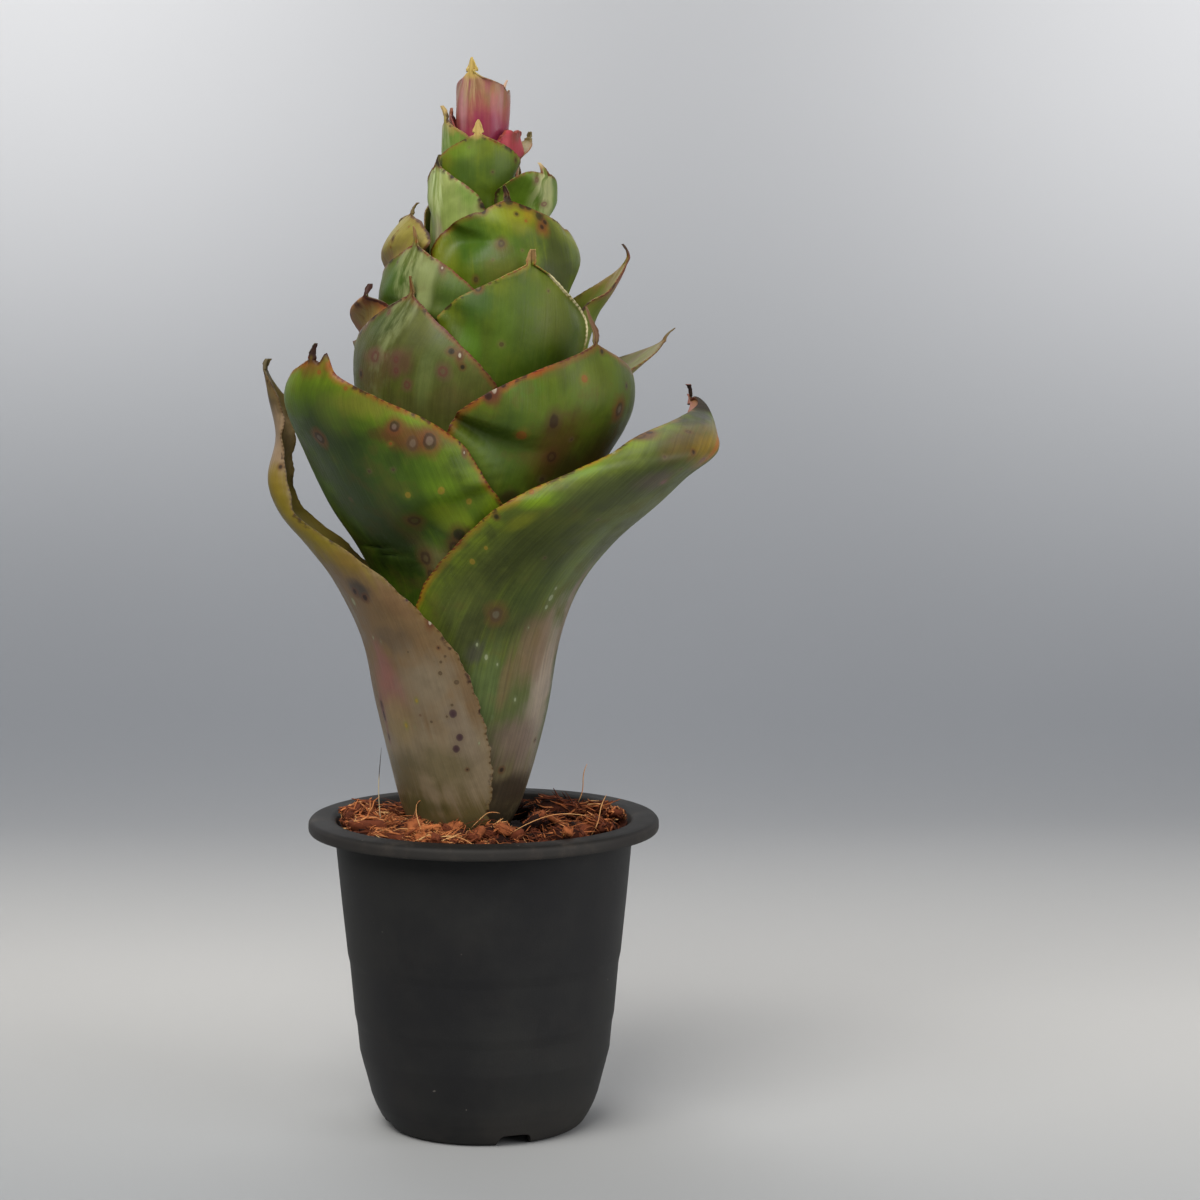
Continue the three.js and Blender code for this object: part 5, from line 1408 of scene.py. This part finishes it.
def clumpParts(look):
    parts = []
    for x, y, lift, long, heading, shade in namedClumps:
        size = np.array([long, long * 0.52, long * 0.38])
        x, y = clearOfStem(x, y, size[1] * 0.4)
        centre = np.array([x, y, mediumHeight(x, y) + lift])
        parts.extend(huskClump(centre, size, heading * degree, shade + 0.1))
    for _ in range(look["clumps"]):
        turn = draw.uniform(0, 2 * math.pi)
        long = draw.uniform(6, 14)
        size = np.array([long, long * draw.uniform(0.4, 0.6), long * draw.uniform(0.3, 0.45)])
        reach = math.sqrt(draw.uniform(look["inner"] ** 2, (look["nearWall"] - long * 0.3) ** 2))
        x, y = clearOfStem(reach * math.sin(turn), -reach * math.cos(turn), long * 0.32)
        if math.hypot(x, y) > look["nearWall"] - long * 0.25:
            continue
        z = heapHeight(x, y) + draw.uniform(-2.0, 3.0)
        heading = turn + 0.5 * math.pi + draw.normal() * 0.9
        # painted shade: clumps on the right side are made darker
        dim = look["paintedShadeOnClumps"] if x > look["paintedShadeBeyond"] else 0.0
        parts.extend(huskClump(np.array([x, y, z]), size, heading, draw.uniform(0.36, 0.82) - dim))
    for count in range(look["chips"]):
        turn = draw.uniform(0, 2 * math.pi) if count % 3 else draw.uniform(-1.2, 1.2)
        long = draw.uniform(3.5, 9.0)
        size = np.array([long, long * draw.uniform(0.35, 0.7), draw.uniform(1.6, 3.6)])
        furthest = look["chipsNearWall"] - long * 0.25
        reach = math.sqrt(draw.uniform(look["inner"] ** 2, furthest ** 2))
        x, y = clearOfStem(reach * math.sin(turn), -reach * math.cos(turn), long * 0.4)
        if math.hypot(x, y) > furthest:
            continue
        z = heapHeight(x, y) + draw.uniform(-0.6, 4.2)
        # painted shade: chips on the right side are made darker
        shade = draw.uniform(0.16, 0.78) - (look["paintedShadeOnChips"] if x > look["paintedShadeBeyond"] else 0)
        heading = turn + 0.5 * math.pi + draw.normal() * 1.1
        parts.extend(huskChip(np.array([x, y, z]), size, heading, draw.normal() * 0.35, shade))
    return parts


def looseParts(look):
    parts = []
    for start, end, rise in namedFibres:
        t = np.linspace(0, 1, 12)[:, None]
        path = np.array(start) * (1 - t) + np.array(end) * t + np.array([0, 0, 4.0 * rise]) * t * (1 - t)
        path = path + np.array([0.5, 0.4, 0]) * np.sin(t * 6)
        parts.append((*fibreTube(path, 0.15, 4), 0.98))
    for _ in range(look["looseFibres"]):
        turn = draw.uniform(0, 2 * math.pi)
        reach = math.sqrt(draw.uniform(look["looseFrom"] ** 2, look["looseTo"] ** 2))
        x, y = clearOfStem(reach * math.sin(turn), -reach * math.cos(turn), 1.0)
        heading = turn + 0.5 * math.pi + draw.normal() * 0.8
        long = draw.uniform(4, 17)
        t = np.linspace(-0.5, 0.5, 8)[:, None]
        along = np.array([math.cos(heading), math.sin(heading), draw.uniform(-0.3, 0.3)])
        sideways = np.array([-math.sin(heading), math.cos(heading), 0]) * draw.normal() * 2.4
        path = np.array([x, y, heapHeight(x, y) + draw.uniform(1.5, 5.5)]) + along * t * long
        path = path + sideways * (t ** 2 - 0.25) * 2 - np.array([0, 0, 1.0]) * (t ** 2) * draw.uniform(0, 10)
        reachNow = np.hypot(path[:, 0], path[:, 1])
        path[:, :2] *= np.minimum(1, 46.0 / reachNow)[:, None]
        radius = draw.uniform(0.05, 0.14)
        # painted shade: fibres on the right side are made darker
        shade = draw.uniform(0.3, 0.95) - (look["paintedShadeOnFibres"] if x > look["paintedShadeBeyond"] else 0)
        parts.append((*fibreTube(path, radius), shade))
    return parts


def addHusk(name, parts, finish, solid=None):
    points, faces, shades = gather(parts)
    reach = np.hypot(points[:, 0], points[:, 1])
    inPot = points[:, 2] < potLook["rimHeight"] + mediumLook["seatGap"]
    room = np.where(inPot, potInside(wallTop) - mediumLook["seatGap"], potLook["rimRadius"] - 3.5)
    points[:, :2] *= np.minimum(1, room / np.maximum(reach, 1))[:, None]
    piece = addMesh(name, points, faces, finish)
    keepOnPoints(piece.data, "shade", shades)
    if solid:
        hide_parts(solid)
    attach(piece, "root")


def makeMedium(look):
    finish = huskFinish()
    addHusk("husk_medium", [mediumPlug(look), *clumpParts(look)], finish, "growing_medium")
    addHusk("husk_fibres", looseParts(look), finish)


# The long hair at the left of the pot

hairLook = {
    "x": -32, "y": -12, "foot": 91, "top": 121.5, "radius": 0.13, "pale": "#b8a680", "dark": "#2c241c",
}


def makeHair(look):
    hair = Finish("dry_hair", roughness=0.6)
    height = hair.node("SeparateXYZ", {0: hair.place()}, out=2)
    hair.colour(hair.over(hair.ease(height, 0.111, 0.114), look["pale"], look["dark"]))
    z = np.linspace(look["foot"], look["top"], 16)
    path = np.stack([look["x"] + 0.6 * np.sin(z * 0.16), look["y"] + 0.03 * (z - look["foot"]), z], 1)
    points, faces = fibreTube(path, look["radius"], 5)
    piece = addMesh("loose_hair", points, faces, hair.material)
    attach(piece, "root")


def makeStage(look):
    paper = Finish("pale_paper", roughness=0.8, specular=0.1)
    solid = paper.place()
    cloud = paper.noise(solid, 2.5, 2, 0.5)
    x, y, z = (paper.node("SeparateXYZ", {0: solid}, out=k) for k in range(3))
    # Painted light and shade on the sweep: graded from front to back and darker up the curve, with a painted pool of
    # light on the upper wall
    colour = paper.over(paper.ease(paper.plus(y, (x, 0.25)), -0.25, 0.22), "#888b8e", "#b4b3b1")
    colour = paper.over(paper.ease(paper.plus(y, (z, 0.6)), 0.12, 0.72), colour, "#787b80")
    fromMiddle = paper.sum("ABSOLUTE", paper.plus(x, -0.11))
    sides = paper.ease(fromMiddle, 0.0, 0.4, 0.54, 1.0)
    lit = paper.times(paper.ease(paper.plus(z, (x, 0.05)), 0.0, 0.56), sides)
    colour = paper.over(lit, colour, "#f2f3f6")
    paper.colour(paper.over(0.04, colour, paper.over(cloud, "#808080", "#ffffff")))
    back, curve, high = look["floorBack"], look["floorCurve"], look["wallHigh"]
    line = [(look["floorFront"], 0.0), (back, 0.0)]
    for k in range(1, look["curveSteps"] + 1):
        a = 0.5 * math.pi * k / look["curveSteps"]
        line.append((back + curve * math.sin(a), curve * (1 - math.cos(a))))
    line.append((back + curve, high))
    half = look["floorWide"] / 2
    points = [(x, y, z) for y, z in line for x in (-half, half)]
    faces = [(2 * k, 2 * k + 1, 2 * k + 3, 2 * k + 2) for k in range(len(line) - 1)]
    addMesh("sweep", points, faces, paper.material)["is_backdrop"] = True


addCamera(stageLook)
setWorld(stageLook["worldStrength"])
for name, light in softLights.items():
    addSoftLight(name, *light)
makeStage(stageLook)
print("stage ready")
makePot(potLook)
print("pot ready")
makeStem()
makeMedium(mediumLook)
makeHair(hairLook)
print("stem, medium and hair ready")
for order in range(len(leaves)):
    makeLeaf(order)
print("leaves ready:", len(leaves))

shapes = [o for o in scene.objects if o.type == "MESH" and not o.hide_render]
print("triangles:", sum(sum(len(p.vertices) - 2 for p in o.data.polygons) for o in shapes))
scene.view_settings.view_transform = "Standard"


def asList(value):
    return [asList(item) for item in value] if hasattr(value, "__len__") else float(value)


{"cad": asList(cadBox), "visual": asList(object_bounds())}
